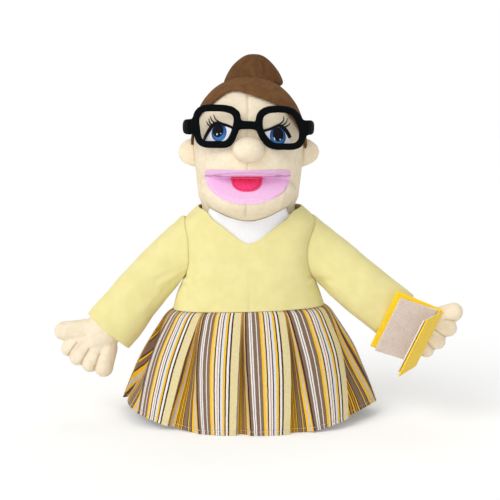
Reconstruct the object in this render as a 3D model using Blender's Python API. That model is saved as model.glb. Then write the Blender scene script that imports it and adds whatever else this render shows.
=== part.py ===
"""Teacher hand puppet: plush head with an open mouth, jersey top, pleated skirt, felt book.

Metres, +Z up. The origin is the middle of the hand opening, at the level of the hem.
The puppet faces -Y, and left is -X, as the viewer in front of it sees it.
"""
import math

import bmesh
import bpy
from mathutils import Matrix, Vector

# Clearances and cloth
SEAT = 0.0003              # gap between a piece and what carries it
JERSEY = 0.0015            # wall of the knitted top
COTTON = 0.0012            # wall of the skirt
INSET_BACKING = 0.0009     # from the top's wall to the bib behind it, clear of both meshes' facets
HEM_FOLD = 0.0026          # the hem is turned up twice
HEM_FOLD_HEIGHT = 0.010
FELT = 0.0016              # covers, leaves, mouth and tongue

# Heights along the body, each from the one below it
WAIST_Z = 0.1085
WAIST_TILT = 0.030         # the waist seam rises to the right by this slope
ARMPIT_Z = WAIST_Z + 0.0245
SHOULDER_Z = ARMPIT_Z + 0.066
COLLAR_Z = SHOULDER_Z + 0.0115
V_POINT_Z = SHOULDER_Z - 0.024
NECK_FOOT_Z = SHOULDER_Z - 0.015
CHIN_CLEARANCE = 0.0022    # from the bib up to the jaw
HEM_LIFT = 0.013           # how far the hem rises at the sides
HEM_FLAT_HALF = 0.045      # the hem rests flat over this half width

# Half widths (x) and half depths (y) of the body
WAIST_HALF_WIDTH = 0.076
WAIST_HALF_DEPTH = 0.044
HEM_HALF_WIDTH = 0.129
HEM_HALF_DEPTH = 0.095
SHOULDER_HALF_WIDTH = 0.065
ARMHOLE_HALF_WIDTH = 0.0595
COLLAR_HALF_WIDTH = 0.0508
COLLAR_HALF_DEPTH = 0.034
CHEST_HALF_DEPTH = 0.041

# Pleats: the panels that the viewer sees, then the rest spread evenly round the back
PLEAT_DEPTH = 0.013
PLEAT_COUNT = 10
FRONT_WAIST_EDGES = (-71.3, -33.1, -2.6, 28.3, 71.3)
FRONT_HEM_PANELS = ((-56.2, -36.7), (-21.1, -5.2), (1.0, 17.5), (28.9, 48.1))
BACK_PANEL_SHARE = 0.47    # share of each pleat's pitch at the hem that is panel
PLEAT_FOLD_DEG = 0.9       # width of the step at a panel's folded edge
WAIST_UNDERLAY_DEG = 2.4   # what shows of each underlay at the waist

# Head
HEAD_HALF_WIDTH = 0.0545
HEAD_MID_Y = -0.004
FACE_DEPTH = 0.057         # from the middle of the head to the face
BACK_DEPTH = 0.056
CREASE_Y = HEAD_MID_Y - FACE_DEPTH + 0.025   # the mouth's crease, where both jaws fold
CREASE_Z = COLLAR_Z + 0.0287
CROWN_MID_Z = CREASE_Z + 0.0308
CROWN_HEIGHT = 0.0625
AHEAD_Y = HEAD_MID_Y - FACE_DEPTH - 0.019    # plane ahead of the face, where cutters start
NECK_HALF_WIDTH = COLLAR_HALF_WIDTH - JERSEY - INSET_BACKING - COTTON
NECK_FRONT = 0.021
NECK_BACK = COLLAR_HALF_DEPTH - JERSEY - 2.0 * SEAT - HEAD_MID_Y
JAW_CENTRE = (0.0, CREASE_Y + 0.008, CREASE_Z - 0.0167)
JAW_HALF = (HEAD_HALF_WIDTH - 0.0065, 0.0385, 0.0255)

# Mouth: a wedge that opens forward from the crease
PALATE_RISE_DEG = 11.0
MOUTH_DROP_DEG = 39.0
TONGUE_HALF_WIDTH = 0.0152
TONGUE_LENGTH = 0.0215

# Hand way through the neck, with a pocket for the fingers and one for the thumb
NECK_WALL = 0.0092
HAND_WAY_HALF_WIDTH = NECK_HALF_WIDTH - NECK_WALL
HAND_WAY_FRONT = HEAD_MID_Y - NECK_FRONT + 0.008
HAND_WAY_BACK = HEAD_MID_Y + NECK_BACK - 0.0099
FINGER_POCKET = ((-0.034, HEAD_MID_Y - FACE_DEPTH + 0.011, CREASE_Z + 0.0153),
                 (0.034, HAND_WAY_BACK - 0.002, CREASE_Z + 0.0343))
THUMB_POCKET = ((-0.016, JAW_CENTRE[1] - 0.020, JAW_CENTRE[2] - 0.0160),
                (0.016, 0.000, JAW_CENTRE[2] - 0.0045))

# Face
NOSE_CENTRE = (0.0, HEAD_MID_Y - FACE_DEPTH - 0.0030, CROWN_MID_Z - 0.0035)
NOSE_HALF = (0.0152, 0.0165, 0.0122)
EAR_CENTRE = (HEAD_HALF_WIDTH + 0.0015, 0.0050, CROWN_MID_Z - 0.0080)
EAR_HALF = (0.0148, 0.0060, 0.0148)
HAIR_THICKNESS = 0.0032
HAIR_BACKING = 0.0013      # from the skull to the cap's inner side, clear of both meshes' facets
BUN_CENTRE = (0.0062, 0.0080)
BUN_HALF_WIDTH = 0.0310
BUN_HALF_DEPTH = 0.0270
BUN_FOOT_Z = CROWN_MID_Z + CROWN_HEIGHT - 0.0125
BUN_HEIGHT = 0.0392

# Glasses: the front lies across the face, the temples run back along the head
GLASSES_THICKNESS = 0.0048
RIM_WIDTH = 0.0072
WRAP_HALF_WIDTH = 0.0500   # at this distance from the middle the front is set back by WRAP_DEPTH
WRAP_DEPTH = 0.0130
BRIDGE_Z = CROWN_MID_Z + 0.0174
BRIDGE_BARS = ((-0.0118, 0.0084), (-0.0040, 0.0078), (0.0040, 0.0078), (0.0112, 0.0084))   # across, and height
TEMPLE_ROOTS = ((-1.0, 0.0488, 0.0170), (1.0, 0.0505, 0.0162))   # side, out, and above the middle of the head
TEMPLE_END_Y = 0.000
TEMPLE_HEIGHT = 0.0150
LUG_REACH = HEAD_HALF_WIDTH + 0.0025   # how far the lugs stand out before they fold back

# Arms and hands
CUFF_INSET = 0.80          # wrist size as a share of the cuff
CUFF_DEPTH = 0.012
PALM_HALF = (0.0235, 0.0235, 0.0135)
PALM_REACH = 0.0215
HAND_SIZE = 1.06           # palm and digits against their tables

# Book: back cover on the right hand, front cover on the spine's axis
BOOK_SPINE_TOP = (ARMHOLE_HALF_WIDTH + 0.1264, -0.0440, SHOULDER_Z - 0.0880)
BOOK_SPINE_DIRECTION = (-0.373, 0.250, -0.893)
BOOK_WIDTH_DIRECTION = (-0.923, -0.008, 0.384)
BOOK_WIDTH = 0.0460
BOOK_HEIGHT = 0.0640
BOOK_OPEN_DEG = 64.3
LEAF_MARGIN = 0.0028
SPINE_EDGE = 0.00025       # from the axis to a cover's edge


def clear_scene():
    for thing in list(bpy.data.objects):
        bpy.data.objects.remove(thing, do_unlink=True)


def make_material(name, colour, roughness, metallic=0.0):
    material = bpy.data.materials.new(name)
    material.use_nodes = True
    shader = material.node_tree.nodes["Principled BSDF"]
    shader.inputs["Base Color"].default_value = (*colour, 1.0)
    shader.inputs["Roughness"].default_value = roughness
    shader.inputs["Metallic"].default_value = metallic
    material.diffuse_color = (*colour, 1.0)
    return material


def add_object(name, bm, material=None, smooth_deg=40.0):
    """Turn a bmesh into a named object."""
    mesh = bpy.data.meshes.new(name)
    bm.to_mesh(mesh)
    bm.free()
    thing = bpy.data.objects.new(name, mesh)
    bpy.context.collection.objects.link(thing)
    if material:
        mesh.materials.append(material)
    mesh.shade_smooth()
    mesh.set_sharp_from_angle(angle=math.radians(smooth_deg))
    return thing


def loft(rings, close=True):
    """Closed solid through rings of equal length; the two end rings are capped."""
    bm = bmesh.new()
    rows = [[bm.verts.new(point) for point in ring] for ring in rings]
    count = len(rows[0])
    for low, high in zip(rows, rows[1:]):
        for i in range(count):
            j = (i + 1) % count
            bm.faces.new((low[i], low[j], high[j], high[i]))
    if close:
        bm.faces.new(list(reversed(rows[0])))
        bm.faces.new(rows[-1])
    bmesh.ops.recalc_face_normals(bm, faces=bm.faces)
    return bm


def shell(outer, inner):
    """Tube with a wall: outer and inner rings in step, joined at both rims."""
    bm = bmesh.new()
    outer_rows = [[bm.verts.new(point) for point in ring] for ring in outer]
    inner_rows = [[bm.verts.new(point) for point in ring] for ring in inner]
    loop = outer_rows + inner_rows[::-1]
    loop.append(outer_rows[0])
    count = len(outer_rows[0])
    for low, high in zip(loop, loop[1:]):
        for i in range(count):
            j = (i + 1) % count
            bm.faces.new((low[i], low[j], high[j], high[i]))
    bmesh.ops.recalc_face_normals(bm, faces=bm.faces)
    return bm


def dome(rings, pole):
    """Solid of rings closed by a pole at the last ring and a flat cap at the first."""
    bm = loft(rings, close=False)
    bm.verts.ensure_lookup_table()
    count = len(rings[0])
    total = len(bm.verts)
    tip = bm.verts.new(pole)
    bm.verts.ensure_lookup_table()
    last = [bm.verts[total - count + i] for i in range(count)]
    first = [bm.verts[i] for i in range(count)]
    for i in range(count):
        bm.faces.new((last[i], last[(i + 1) % count], tip))
    bm.faces.new(list(reversed(first)))
    bmesh.ops.recalc_face_normals(bm, faces=bm.faces)
    return bm


def ellipsoid(centre, half, columns=20, rows=10, frame=None):
    """Ellipsoid with half sizes along the axes of frame, or of the world."""
    bm = bmesh.new()
    bmesh.ops.create_uvsphere(bm, u_segments=columns, v_segments=rows, radius=1.0)
    turn = frame if frame else Matrix.Identity(3)
    bmesh.ops.transform(bm, matrix=Matrix.Translation(centre) @ turn.to_4x4() @ Matrix.Diagonal((*half, 1.0)),
                        verts=bm.verts)
    return bm


def rounded_box(low, high, radius, segments=2):
    bm = bmesh.new()
    bmesh.ops.create_cube(bm, size=1.0)
    low, high = Vector(low), Vector(high)
    size = high - low
    bmesh.ops.transform(bm, matrix=Matrix.Translation((low + high) / 2) @ Matrix.Diagonal((*size, 1.0)),
                        verts=bm.verts)
    bmesh.ops.bevel(bm, geom=bm.edges[:], offset=radius, segments=segments, affect="EDGES", profile=0.5)
    return bm


def prism(outline, direction, reach):
    """Outline of points pushed along a direction by reach."""
    bm = bmesh.new()
    base = bm.faces.new([bm.verts.new(point) for point in outline])
    pushed = bmesh.ops.extrude_face_region(bm, geom=[base])
    moved = [item for item in pushed["geom"] if isinstance(item, bmesh.types.BMVert)]
    bmesh.ops.translate(bm, verts=moved, vec=Vector(direction).normalized() * reach)
    bmesh.ops.recalc_face_normals(bm, faces=bm.faces)
    return bm


def combine(target, operation, tool, keep_tool=False):
    """Apply an exact Boolean of tool on target, and drop the tool."""
    modifier = target.modifiers.new(operation, "BOOLEAN")
    modifier.operation = operation
    modifier.solver = "EXACT"
    modifier.object = tool
    graph = bpy.context.evaluated_depsgraph_get()
    graph.update()
    mesh = bpy.data.meshes.new_from_object(target.evaluated_get(graph))
    target.modifiers.clear()
    old = target.data
    target.data = mesh
    bpy.data.meshes.remove(old)
    if not keep_tool:
        bpy.data.objects.remove(tool, do_unlink=True)
    return target


def cut(target, bm):
    return combine(target, "DIFFERENCE", add_object("cutter", bm))


def join(target, bm):
    return combine(target, "UNION", add_object("addition", bm))


def keep_inside(target, bm):
    return combine(target, "INTERSECT", add_object("limit", bm))


def tidy_mesh(thing, distance=0.00002):
    """Weld points that a Boolean left almost on each other, and smooth-shade again."""
    bm = bmesh.new()
    bm.from_mesh(thing.data)
    bmesh.ops.remove_doubles(bm, verts=bm.verts, dist=distance)
    bmesh.ops.dissolve_degenerate(bm, dist=distance, edges=bm.edges)
    bm.to_mesh(thing.data)
    bm.free()
    thing.data.shade_smooth()
    thing.data.set_sharp_from_angle(angle=math.radians(40.0))
    return thing


def between(value, table):
    """Smooth value from a table of (position, value...) rows, by cubic steps with shared slopes."""
    if value <= table[0][0]:
        return table[0][1:]
    if value >= table[-1][0]:
        return table[-1][1:]
    index = next(i for i in range(len(table) - 1) if table[i][0] <= value <= table[i + 1][0])
    here, there = table[index], table[index + 1]
    before, after = table[max(index - 1, 0)], table[min(index + 2, len(table) - 1)]
    span = there[0] - here[0]
    s = (value - here[0]) / span
    found = []
    for column in range(1, len(here)):
        slope_in = (there[column] - before[column]) / (there[0] - before[0]) * span
        slope_out = (after[column] - here[column]) / (after[0] - here[0]) * span
        found.append((2 * s**3 - 3 * s**2 + 1) * here[column] + (s**3 - 2 * s**2 + s) * slope_in
                     + (3 * s**2 - 2 * s**3) * there[column] + (s**3 - s**2) * slope_out)
    return tuple(found)


def mix(low, high, share):
    return low + (high - low) * share


def smooth_step(share):
    share = min(max(share, 0.0), 1.0)
    return share * share * (3.0 - 2.0 * share)


def superellipse(angle, power):
    """Unit superellipse at an angle from the front (-Y), turning towards +X."""
    sine, cosine = math.sin(angle), math.cos(angle)
    return (math.copysign(abs(sine) ** (2.0 / power), sine), -math.copysign(abs(cosine) ** (2.0 / power), cosine))


# Body: the jersey top and the skirt share the waist section

BODICE_TABLE = (
    (WAIST_Z, WAIST_HALF_WIDTH, WAIST_HALF_DEPTH),
    (ARMPIT_Z - 0.010, WAIST_HALF_WIDTH - 0.0045, WAIST_HALF_DEPTH),
    (ARMPIT_Z + 0.005, ARMHOLE_HALF_WIDTH + 0.0060, WAIST_HALF_DEPTH),
    (ARMPIT_Z + 0.020, ARMHOLE_HALF_WIDTH, CHEST_HALF_DEPTH + 0.002),
    (SHOULDER_Z - 0.020, ARMHOLE_HALF_WIDTH + 0.0015, CHEST_HALF_DEPTH),
    (SHOULDER_Z - 0.001, SHOULDER_HALF_WIDTH - 0.0030, CHEST_HALF_DEPTH - 0.003),
    (SHOULDER_Z + 0.005, mix(SHOULDER_HALF_WIDTH, COLLAR_HALF_WIDTH, 0.62), COLLAR_HALF_DEPTH + 0.002),
    (COLLAR_Z, COLLAR_HALF_WIDTH, COLLAR_HALF_DEPTH),
)
BODY_POWER = 2.35


def waist_height(x):
    return WAIST_Z + WAIST_TILT * x


def bodice_point(angle, z, grow=0.0):
    half_width, half_depth = between(z, BODICE_TABLE)
    x, y = superellipse(angle, BODY_POWER)
    return Vector((x * (half_width + grow), y * (half_depth + grow), z))


def bodice_ring(z, grow, columns=40, tilt=False):
    ring = []
    for i in range(columns):
        point = bodice_point(2.0 * math.pi * i / columns, z, grow)
        if tilt:
            point.z += WAIST_TILT * point.x
        ring.append(point)
    return ring


def bodice_heights():
    return [ARMPIT_Z - 0.010, ARMPIT_Z, ARMPIT_Z + 0.009, ARMPIT_Z + 0.020, mix(ARMPIT_Z, SHOULDER_Z, 0.5),
            SHOULDER_Z - 0.020, SHOULDER_Z - 0.009, SHOULDER_Z - 0.001, SHOULDER_Z + 0.005, COLLAR_Z]


def build_bodice(material):
    """Jersey top: a tube from the waist seam to the collar, with the V cut out of its front."""
    outer, inner = ([bodice_ring(WAIST_Z + SEAT / 2, grow, tilt=True)]
                    + [bodice_ring(z, grow) for z in bodice_heights()] for grow in (0.0, -JERSEY))
    bodice = add_object("bodice", shell(outer, inner), material)
    rise = COLLAR_Z - V_POINT_Z
    reach = COLLAR_HALF_WIDTH + JERSEY
    notch = [Vector((x, AHEAD_Y, z)) for x, z in (
        (0.0, V_POINT_Z), (-reach, V_POINT_Z + rise), (-reach, COLLAR_Z + 0.010), (reach, COLLAR_Z + 0.010),
        (reach, V_POINT_Z + rise))]
    return tidy_mesh(cut(bodice, prism(notch, (0.0, 1.0, 0.0), -AHEAD_Y - 0.002)))


def bodice_limit(grow):
    """The solid form of the top, to seat the sleeves against."""
    return loft([bodice_ring(WAIST_Z - 0.004, grow)] + [bodice_ring(z, grow) for z in bodice_heights()])


def jaw_underside(x, y):
    """Height of the jaw's lower surface over a point, or nothing beside the jaw."""
    share = 1.0 - ((x - JAW_CENTRE[0]) / JAW_HALF[0]) ** 2 - ((y - JAW_CENTRE[1]) / JAW_HALF[1]) ** 2
    return JAW_CENTRE[2] - JAW_HALF[2] * math.sqrt(share) if share > 0.0 else COLLAR_Z


def bib_top(angle, grow):
    """Height of the bib's upper edge, just under the jaw."""
    top = COLLAR_Z - 0.0015
    for _ in range(6):
        edge = bodice_point(angle, top, grow)
        top = min(jaw_underside(edge.x, edge.y) - CHIN_CLEARANCE, COLLAR_Z - 0.0015)
    return top


def build_inset(material):
    """White bib behind the V neck: a curved strip inside the top's wall, and round the neck's front."""
    low_z, reach_deg = V_POINT_Z - 0.014, 66.0
    columns, rows = 16, 4
    outside = -(JERSEY + INSET_BACKING)
    bm = bmesh.new()
    grids = []
    for grow in (outside, outside - COTTON):
        grid = []
        for row in range(rows + 1):
            line = []
            for column in range(columns + 1):
                angle = math.radians(mix(-reach_deg, reach_deg, column / columns))
                top = bib_top(angle, grow)
                bottom = min(mix(low_z, COLLAR_Z, abs(math.sin(angle)) ** 1.2), top - 0.006)
                line.append(bm.verts.new(bodice_point(angle, mix(bottom, top, row / rows), grow)))
            grid.append(line)
        grids.append(grid)
    front, back = grids
    for row in range(rows):
        for column in range(columns):
            bm.faces.new((front[row][column], front[row][column + 1],
                          front[row + 1][column + 1], front[row + 1][column]))
            bm.faces.new((back[row][column], back[row + 1][column],
                          back[row + 1][column + 1], back[row][column + 1]))
    rim_front = (front[0] + [line[-1] for line in front[1:]] + front[-1][-2::-1]
                 + [line[0] for line in front[-2:0:-1]])
    rim_back = (back[0] + [line[-1] for line in back[1:]] + back[-1][-2::-1]
                + [line[0] for line in back[-2:0:-1]])
    for i in range(len(rim_front)):
        j = (i + 1) % len(rim_front)
        bm.faces.new((rim_front[i], rim_back[i], rim_back[j], rim_front[j]))
    bmesh.ops.recalc_face_normals(bm, faces=bm.faces)
    return add_object("shirt_inset", bm, material)


# Share of the drop, then the share of the way from the waist's size to the hem's, across and in depth
SKIRT_FLARE = (
    (0.00, 0.0000, 0.0000),
    (0.11, 0.2075, 0.1765),
    (0.40, 0.5377, 0.5098),
    (0.70, 0.7830, 0.7745),
    (1.00, 1.0000, 1.0000),
)


def pleat_edges():
    """For each pleat: panel start and end at the waist, then at the hem, and the next start."""
    front = len(FRONT_HEM_PANELS)
    back = PLEAT_COUNT - front
    waist_pitch = (360.0 - (FRONT_WAIST_EDGES[-1] - FRONT_WAIST_EDGES[0])) / back
    waist = list(FRONT_WAIST_EDGES) + [FRONT_WAIST_EDGES[-1] + waist_pitch * (i + 1) for i in range(back)]
    hem = list(FRONT_HEM_PANELS)
    gap = 360.0 - (FRONT_HEM_PANELS[-1][1] - FRONT_HEM_PANELS[0][0])
    panel = gap * BACK_PANEL_SHARE / back
    underlay = gap * (1.0 - BACK_PANEL_SHARE) / (back + 1)
    start = FRONT_HEM_PANELS[-1][1] + underlay
    for _ in range(back):
        hem.append((start, start + panel))
        start += panel + underlay
    pleats = []
    for i in range(PLEAT_COUNT):
        next_hem = hem[i + 1][0] if i + 1 < PLEAT_COUNT else hem[0][0] + 360.0
        pleats.append(((waist[i], waist[i + 1] - WAIST_UNDERLAY_DEG, waist[i + 1]), (*hem[i], next_hem)))
    return pleats


def skirt_columns(drop):
    """Angles and recess shares round the skirt at a share of its drop."""
    columns = []
    for waist, hem in pleat_edges():
        start, end, following = (mix(a, b, drop) for a, b in zip(waist, hem))
        fold = min(PLEAT_FOLD_DEG, 0.3 * (following - end))
        for share, crown in ((0.0, 0.0), (0.33, -0.07), (0.67, -0.07), (1.0, 0.0)):
            columns.append((mix(start, end, share), crown))
        for share, recess in ((0.0, 1.0), (0.5, 0.90), (0.86, 0.62)):
            columns.append((mix(end + fold, following, share), recess))
    return columns


def skirt_point(angle_deg, recess, drop, wall=0.0):
    across, deep = between(drop, SKIRT_FLARE)
    half_width = mix(WAIST_HALF_WIDTH, HEM_HALF_WIDTH, across)
    half_depth = mix(WAIST_HALF_DEPTH, HEM_HALF_DEPTH, deep)
    angle = math.radians(angle_deg)
    x, y = half_width * math.sin(angle), -half_depth * math.cos(angle)
    outward = Vector((math.sin(angle) / half_width, -math.cos(angle) / half_depth, 0.0)).normalized()
    depth = PLEAT_DEPTH * (0.06 + 0.94 * drop**0.8)
    place = Vector((x, y, 0.0)) - outward * (recess * depth + wall)
    lift = HEM_LIFT * smooth_step((abs(x) - HEM_FLAT_HALF) / (HEM_HALF_WIDTH - HEM_FLAT_HALF))
    place.z = mix(waist_height(x) - SEAT / 2, lift, drop)
    return place


def build_skirt(material):
    hem_start = 1.0 - HEM_FOLD_HEIGHT / WAIST_Z
    drops = (0.0, 0.06, 0.14, 0.28, 0.44, 0.62, 0.78, hem_start, hem_start + 0.004, 1.0)
    outer, inner = [], []
    for drop in drops:
        wall = HEM_FOLD if drop > hem_start else COTTON
        columns = skirt_columns(drop)
        outer.append([skirt_point(angle, recess, drop) for angle, recess in columns])
        inner.append([skirt_point(angle, recess, drop, wall) for angle, recess in columns])
    return add_object("skirt", shell(outer, inner), material, smooth_deg=28.0)


# Head

def head_section(z):
    """Half width, front and back depth, and where the section's middle lies, at a height."""
    if z >= CROWN_MID_Z:
        scale = math.sqrt(max(1.0 - ((z - CROWN_MID_Z) / CROWN_HEIGHT) ** 2, 0.0))
        return HEAD_HALF_WIDTH * scale, FACE_DEPTH * scale, BACK_DEPTH * scale
    return between(z, (
        (NECK_FOOT_Z, NECK_HALF_WIDTH, NECK_FRONT, NECK_BACK),
        (COLLAR_Z + SEAT, NECK_HALF_WIDTH, NECK_FRONT, NECK_BACK),
        (COLLAR_Z + 0.006, NECK_HALF_WIDTH + 0.0030, NECK_FRONT + 0.003, NECK_BACK + 0.006),
        (CREASE_Z - 0.010, HEAD_HALF_WIDTH - 0.0030, FACE_DEPTH - 0.022, BACK_DEPTH - 0.008),
        (CREASE_Z + 0.004, HEAD_HALF_WIDTH - 0.0015, FACE_DEPTH + 0.001, BACK_DEPTH - 0.004),
        (CREASE_Z + 0.012, HEAD_HALF_WIDTH - 0.0005, FACE_DEPTH + 0.002, BACK_DEPTH - 0.002),
        (CROWN_MID_Z, HEAD_HALF_WIDTH, FACE_DEPTH, BACK_DEPTH)))


def head_point(angle, z, grow=0.0):
    half_width, front, back = head_section(z)
    x, y = superellipse(angle, 2.15)
    depth = front if y < 0.0 else back
    return Vector((x * (half_width + grow), HEAD_MID_Y + y * (depth + grow), z))


def head_heights(foot, steps=9):
    low = [foot, COLLAR_Z + SEAT, COLLAR_Z + 0.006, CREASE_Z - 0.018, CREASE_Z - 0.009, CREASE_Z - 0.002,
           CREASE_Z + 0.004, CREASE_Z + 0.012, CREASE_Z + 0.021]
    return low + [CROWN_MID_Z + CROWN_HEIGHT * math.sin(math.radians(84.0 * i / steps)) for i in range(steps + 1)]


def head_form(grow=0.0, columns=36, steps=8):
    """Skull and neck as one turned form; grow makes it larger all over, for seating pieces on it."""
    rings = []
    for z in head_heights(NECK_FOOT_Z, steps):
        ring = []
        for i in range(columns):
            point = head_point(2.0 * math.pi * i / columns, z, grow)
            if z > CROWN_MID_Z:
                point.z += grow * (z - CROWN_MID_Z) / CROWN_HEIGHT
            ring.append(point)
        rings.append(ring)
    pole = Vector((0.0, HEAD_MID_Y, CROWN_MID_Z + CROWN_HEIGHT + grow))
    return dome(rings, pole)


def jaw_form(grow=0.0):
    return ellipsoid(JAW_CENTRE, [half + grow for half in JAW_HALF], columns=24, rows=12)


def mouth_wedge(inset):
    """The open mouth as a wedge; inset moves both planes and the crease into the gape."""
    reach, side = 0.075, 0.075
    rise, drop = math.radians(PALATE_RISE_DEG), math.radians(MOUTH_DROP_DEG)
    half_angle = (rise + drop) / 2.0
    middle = (rise - drop) / 2.0
    back = inset / math.sin(half_angle)
    crease_y = CREASE_Y - back * math.cos(middle)
    crease_z = CREASE_Z + back * math.sin(middle)
    outline = [Vector((-side, crease_y, crease_z)),
               Vector((-side, crease_y - reach * math.cos(rise), crease_z + reach * math.sin(rise))),
               Vector((-side, crease_y - reach * math.cos(drop), crease_z - reach * math.sin(drop)))]
    return prism(outline, (1.0, 0.0, 0.0), 2.0 * side)


def hand_way_form():
    """The way for the puppeteer's hand: a channel up the neck that rounds off behind the finger pocket."""
    rings = []
    top = FINGER_POCKET[1][2] - 0.001
    for z, scale in ((NECK_FOOT_Z - 0.010, 1.0), (COLLAR_Z, 1.0), (CREASE_Z, 1.02), (top - 0.010, 0.98),
                     (top - 0.003, 0.88), (top, 0.72)):
        middle = (HAND_WAY_FRONT + HAND_WAY_BACK) / 2.0
        half_depth = (HAND_WAY_BACK - HAND_WAY_FRONT) / 2.0
        ring = []
        for i in range(24):
            x, y = superellipse(2.0 * math.pi * i / 24, 2.6)
            ring.append(Vector((x * HAND_WAY_HALF_WIDTH * scale, middle + y * half_depth * scale, z)))
        rings.append(ring)
    return loft(rings)


def build_head(material):
    head = add_object("head", head_form(), material)
    join(head, jaw_form())
    cut(head, mouth_wedge(0.0))
    cut(head, hand_way_form())
    cut(head, rounded_box(*FINGER_POCKET, radius=0.006))
    cut(head, rounded_box(*THUMB_POCKET, radius=0.004))
    return tidy_mesh(head)


def build_mouth_lining(material):
    """One folded felt sheet that lines the palate and the lower mouth."""
    lining = add_object("mouth_lining", mouth_wedge(SEAT), material)
    cut(lining, mouth_wedge(SEAT + FELT))
    limit = add_object("limit", head_form(-0.0008), None)
    join(limit, jaw_form(-0.0008))
    combine(lining, "INTERSECT", limit)
    return tidy_mesh(lining)


def build_tongue(material):
    """Felt half-round that lies on the lower mouth, straight side at the crease."""
    drop = math.radians(MOUTH_DROP_DEG)
    forward = Vector((0.0, -math.cos(drop), -math.sin(drop)))
    up = Vector((0.0, -math.sin(drop), math.cos(drop)))
    lift = 2.0 * SEAT + FELT
    start = Vector((0.0, CREASE_Y, CREASE_Z)) + up * lift + forward * 0.0075
    outline = [start + Vector((-TONGUE_HALF_WIDTH, 0.0, 0.0)), start + Vector((TONGUE_HALF_WIDTH, 0.0, 0.0))]
    for i in range(1, 16):
        angle = math.pi * i / 16.0
        outline.append(start + Vector((math.cos(angle) * TONGUE_HALF_WIDTH, 0.0, 0.0))
                       + forward * (math.sin(angle) ** 0.8 * TONGUE_LENGTH))
    return add_object("tongue", prism(outline, up, FELT), material)


def nose_form(grow=0.0):
    return ellipsoid(NOSE_CENTRE, [half + grow for half in NOSE_HALF], columns=20, rows=10)


def build_nose(material):
    nose = add_object("nose", nose_form(), material)
    return tidy_mesh(cut(nose, head_form(SEAT)))


def build_ear(name, side, material):
    centre = (side * EAR_CENTRE[0], EAR_CENTRE[1], EAR_CENTRE[2])
    ear = add_object(name, ellipsoid(centre, EAR_HALF, columns=20, rows=10), material)
    return tidy_mesh(cut(ear, head_form(HAIR_THICKNESS + 2.0 * SEAT, columns=80, steps=18)))


# Hair

# Angle from the front towards the right, and height above the middle of the head
HAIRLINE = (
    (-180.0, -0.0480),
    (-130.0, -0.0440),
    (-106.0, -0.0350),
    (-97.0, -0.0250),
    (-90.0, -0.0100),
    (-84.0, 0.0070),
    (-77.0, 0.0195),
    (-68.0, 0.0280),
    (-57.0, 0.0335),
    (-46.0, 0.0390),
    (-39.0, 0.0450),
    (-27.0, 0.0495),
    (-12.0, 0.0490),
    (0.0, 0.0460),
    (14.0, 0.0422),
    (29.0, 0.0377),
    (41.0, 0.0338),
    (53.0, 0.0284),
    (65.0, 0.0195),
    (74.0, 0.0105),
    (81.0, -0.0020),
    (87.0, -0.0140),
    (100.0, -0.0320),
    (130.0, -0.0440),
    (180.0, -0.0480),
)


def hairline_height(angle_deg):
    return CROWN_MID_Z + between((angle_deg + 180.0) % 360.0 - 180.0, HAIRLINE)[0]


def hair_point(angle_deg, share, grow):
    """Point of the cap between the hairline (share 0) and near the crown (share 1)."""
    low = hairline_height(angle_deg)
    top = math.radians(80.0)
    if low >= CROWN_MID_Z:
        start = math.asin((low - CROWN_MID_Z) / CROWN_HEIGHT)
        z = CROWN_MID_Z + CROWN_HEIGHT * math.sin(mix(start, top, share))
    else:
        arc_low = (low - CROWN_MID_Z) / CROWN_HEIGHT
        place = mix(arc_low, top, share)
        z = CROWN_MID_Z + CROWN_HEIGHT * (math.sin(place) if place > 0.0 else place)
    point = head_point(math.radians(angle_deg), z, grow)
    if z > CROWN_MID_Z:
        point.z += grow * (z - CROWN_MID_Z) / CROWN_HEIGHT
    return point


def build_hair_cap(material):
    columns, rows = 48, 8
    bm = bmesh.new()
    layers = []
    for grow in (HAIR_BACKING, SEAT + HAIR_THICKNESS):
        grid = [[bm.verts.new(hair_point(360.0 * c / columns, r / rows, grow)) for c in range(columns)]
                for r in range(rows + 1)]
        pole = bm.verts.new((0.0, HEAD_MID_Y, CROWN_MID_Z + CROWN_HEIGHT + grow))
        layers.append((grid, pole))
    (inner, inner_pole), (outer, outer_pole) = layers
    for c in range(columns):
        d = (c + 1) % columns
        for r in range(rows):
            bm.faces.new((outer[r][c], outer[r][d], outer[r + 1][d], outer[r + 1][c]))
            bm.faces.new((inner[r][c], inner[r + 1][c], inner[r + 1][d], inner[r][d]))
        bm.faces.new((outer[rows][c], outer[rows][d], outer_pole))
        bm.faces.new((inner[rows][d], inner[rows][c], inner_pole))
        bm.faces.new((outer[0][d], outer[0][c], inner[0][c], inner[0][d]))
    bmesh.ops.recalc_face_normals(bm, faces=bm.faces)
    return add_object("hair_cap", bm, material)


def build_bun(material):
    """Onion-shaped knot of plush on the crown."""
    rings = []
    for share, size in ((0.0, 0.90), (0.16, 0.99), (0.34, 1.00), (0.50, 0.90), (0.66, 0.70), (0.80, 0.50),
                        (0.91, 0.33), (0.975, 0.18)):
        ring = []
        for i in range(22):
            angle = 2.0 * math.pi * i / 22
            ring.append(Vector((BUN_CENTRE[0] * (0.4 + 0.6 * share) + BUN_HALF_WIDTH * size * math.sin(angle),
                                BUN_CENTRE[1] - BUN_HALF_DEPTH * size * math.cos(angle),
                                BUN_FOOT_Z + BUN_HEIGHT * share)))
        rings.append(ring)
    bun = add_object("hair_bun", dome(rings, (BUN_CENTRE[0], BUN_CENTRE[1], BUN_FOOT_Z + BUN_HEIGHT)), material)
    return tidy_mesh(cut(bun, head_form(HAIR_THICKNESS + 3.0 * SEAT)))


# Eyes: thin embroidered fields that follow the face, one layer on another.
# Outlines are (across, above the middle of the head); irises and pupils add their half width and half height.

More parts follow.
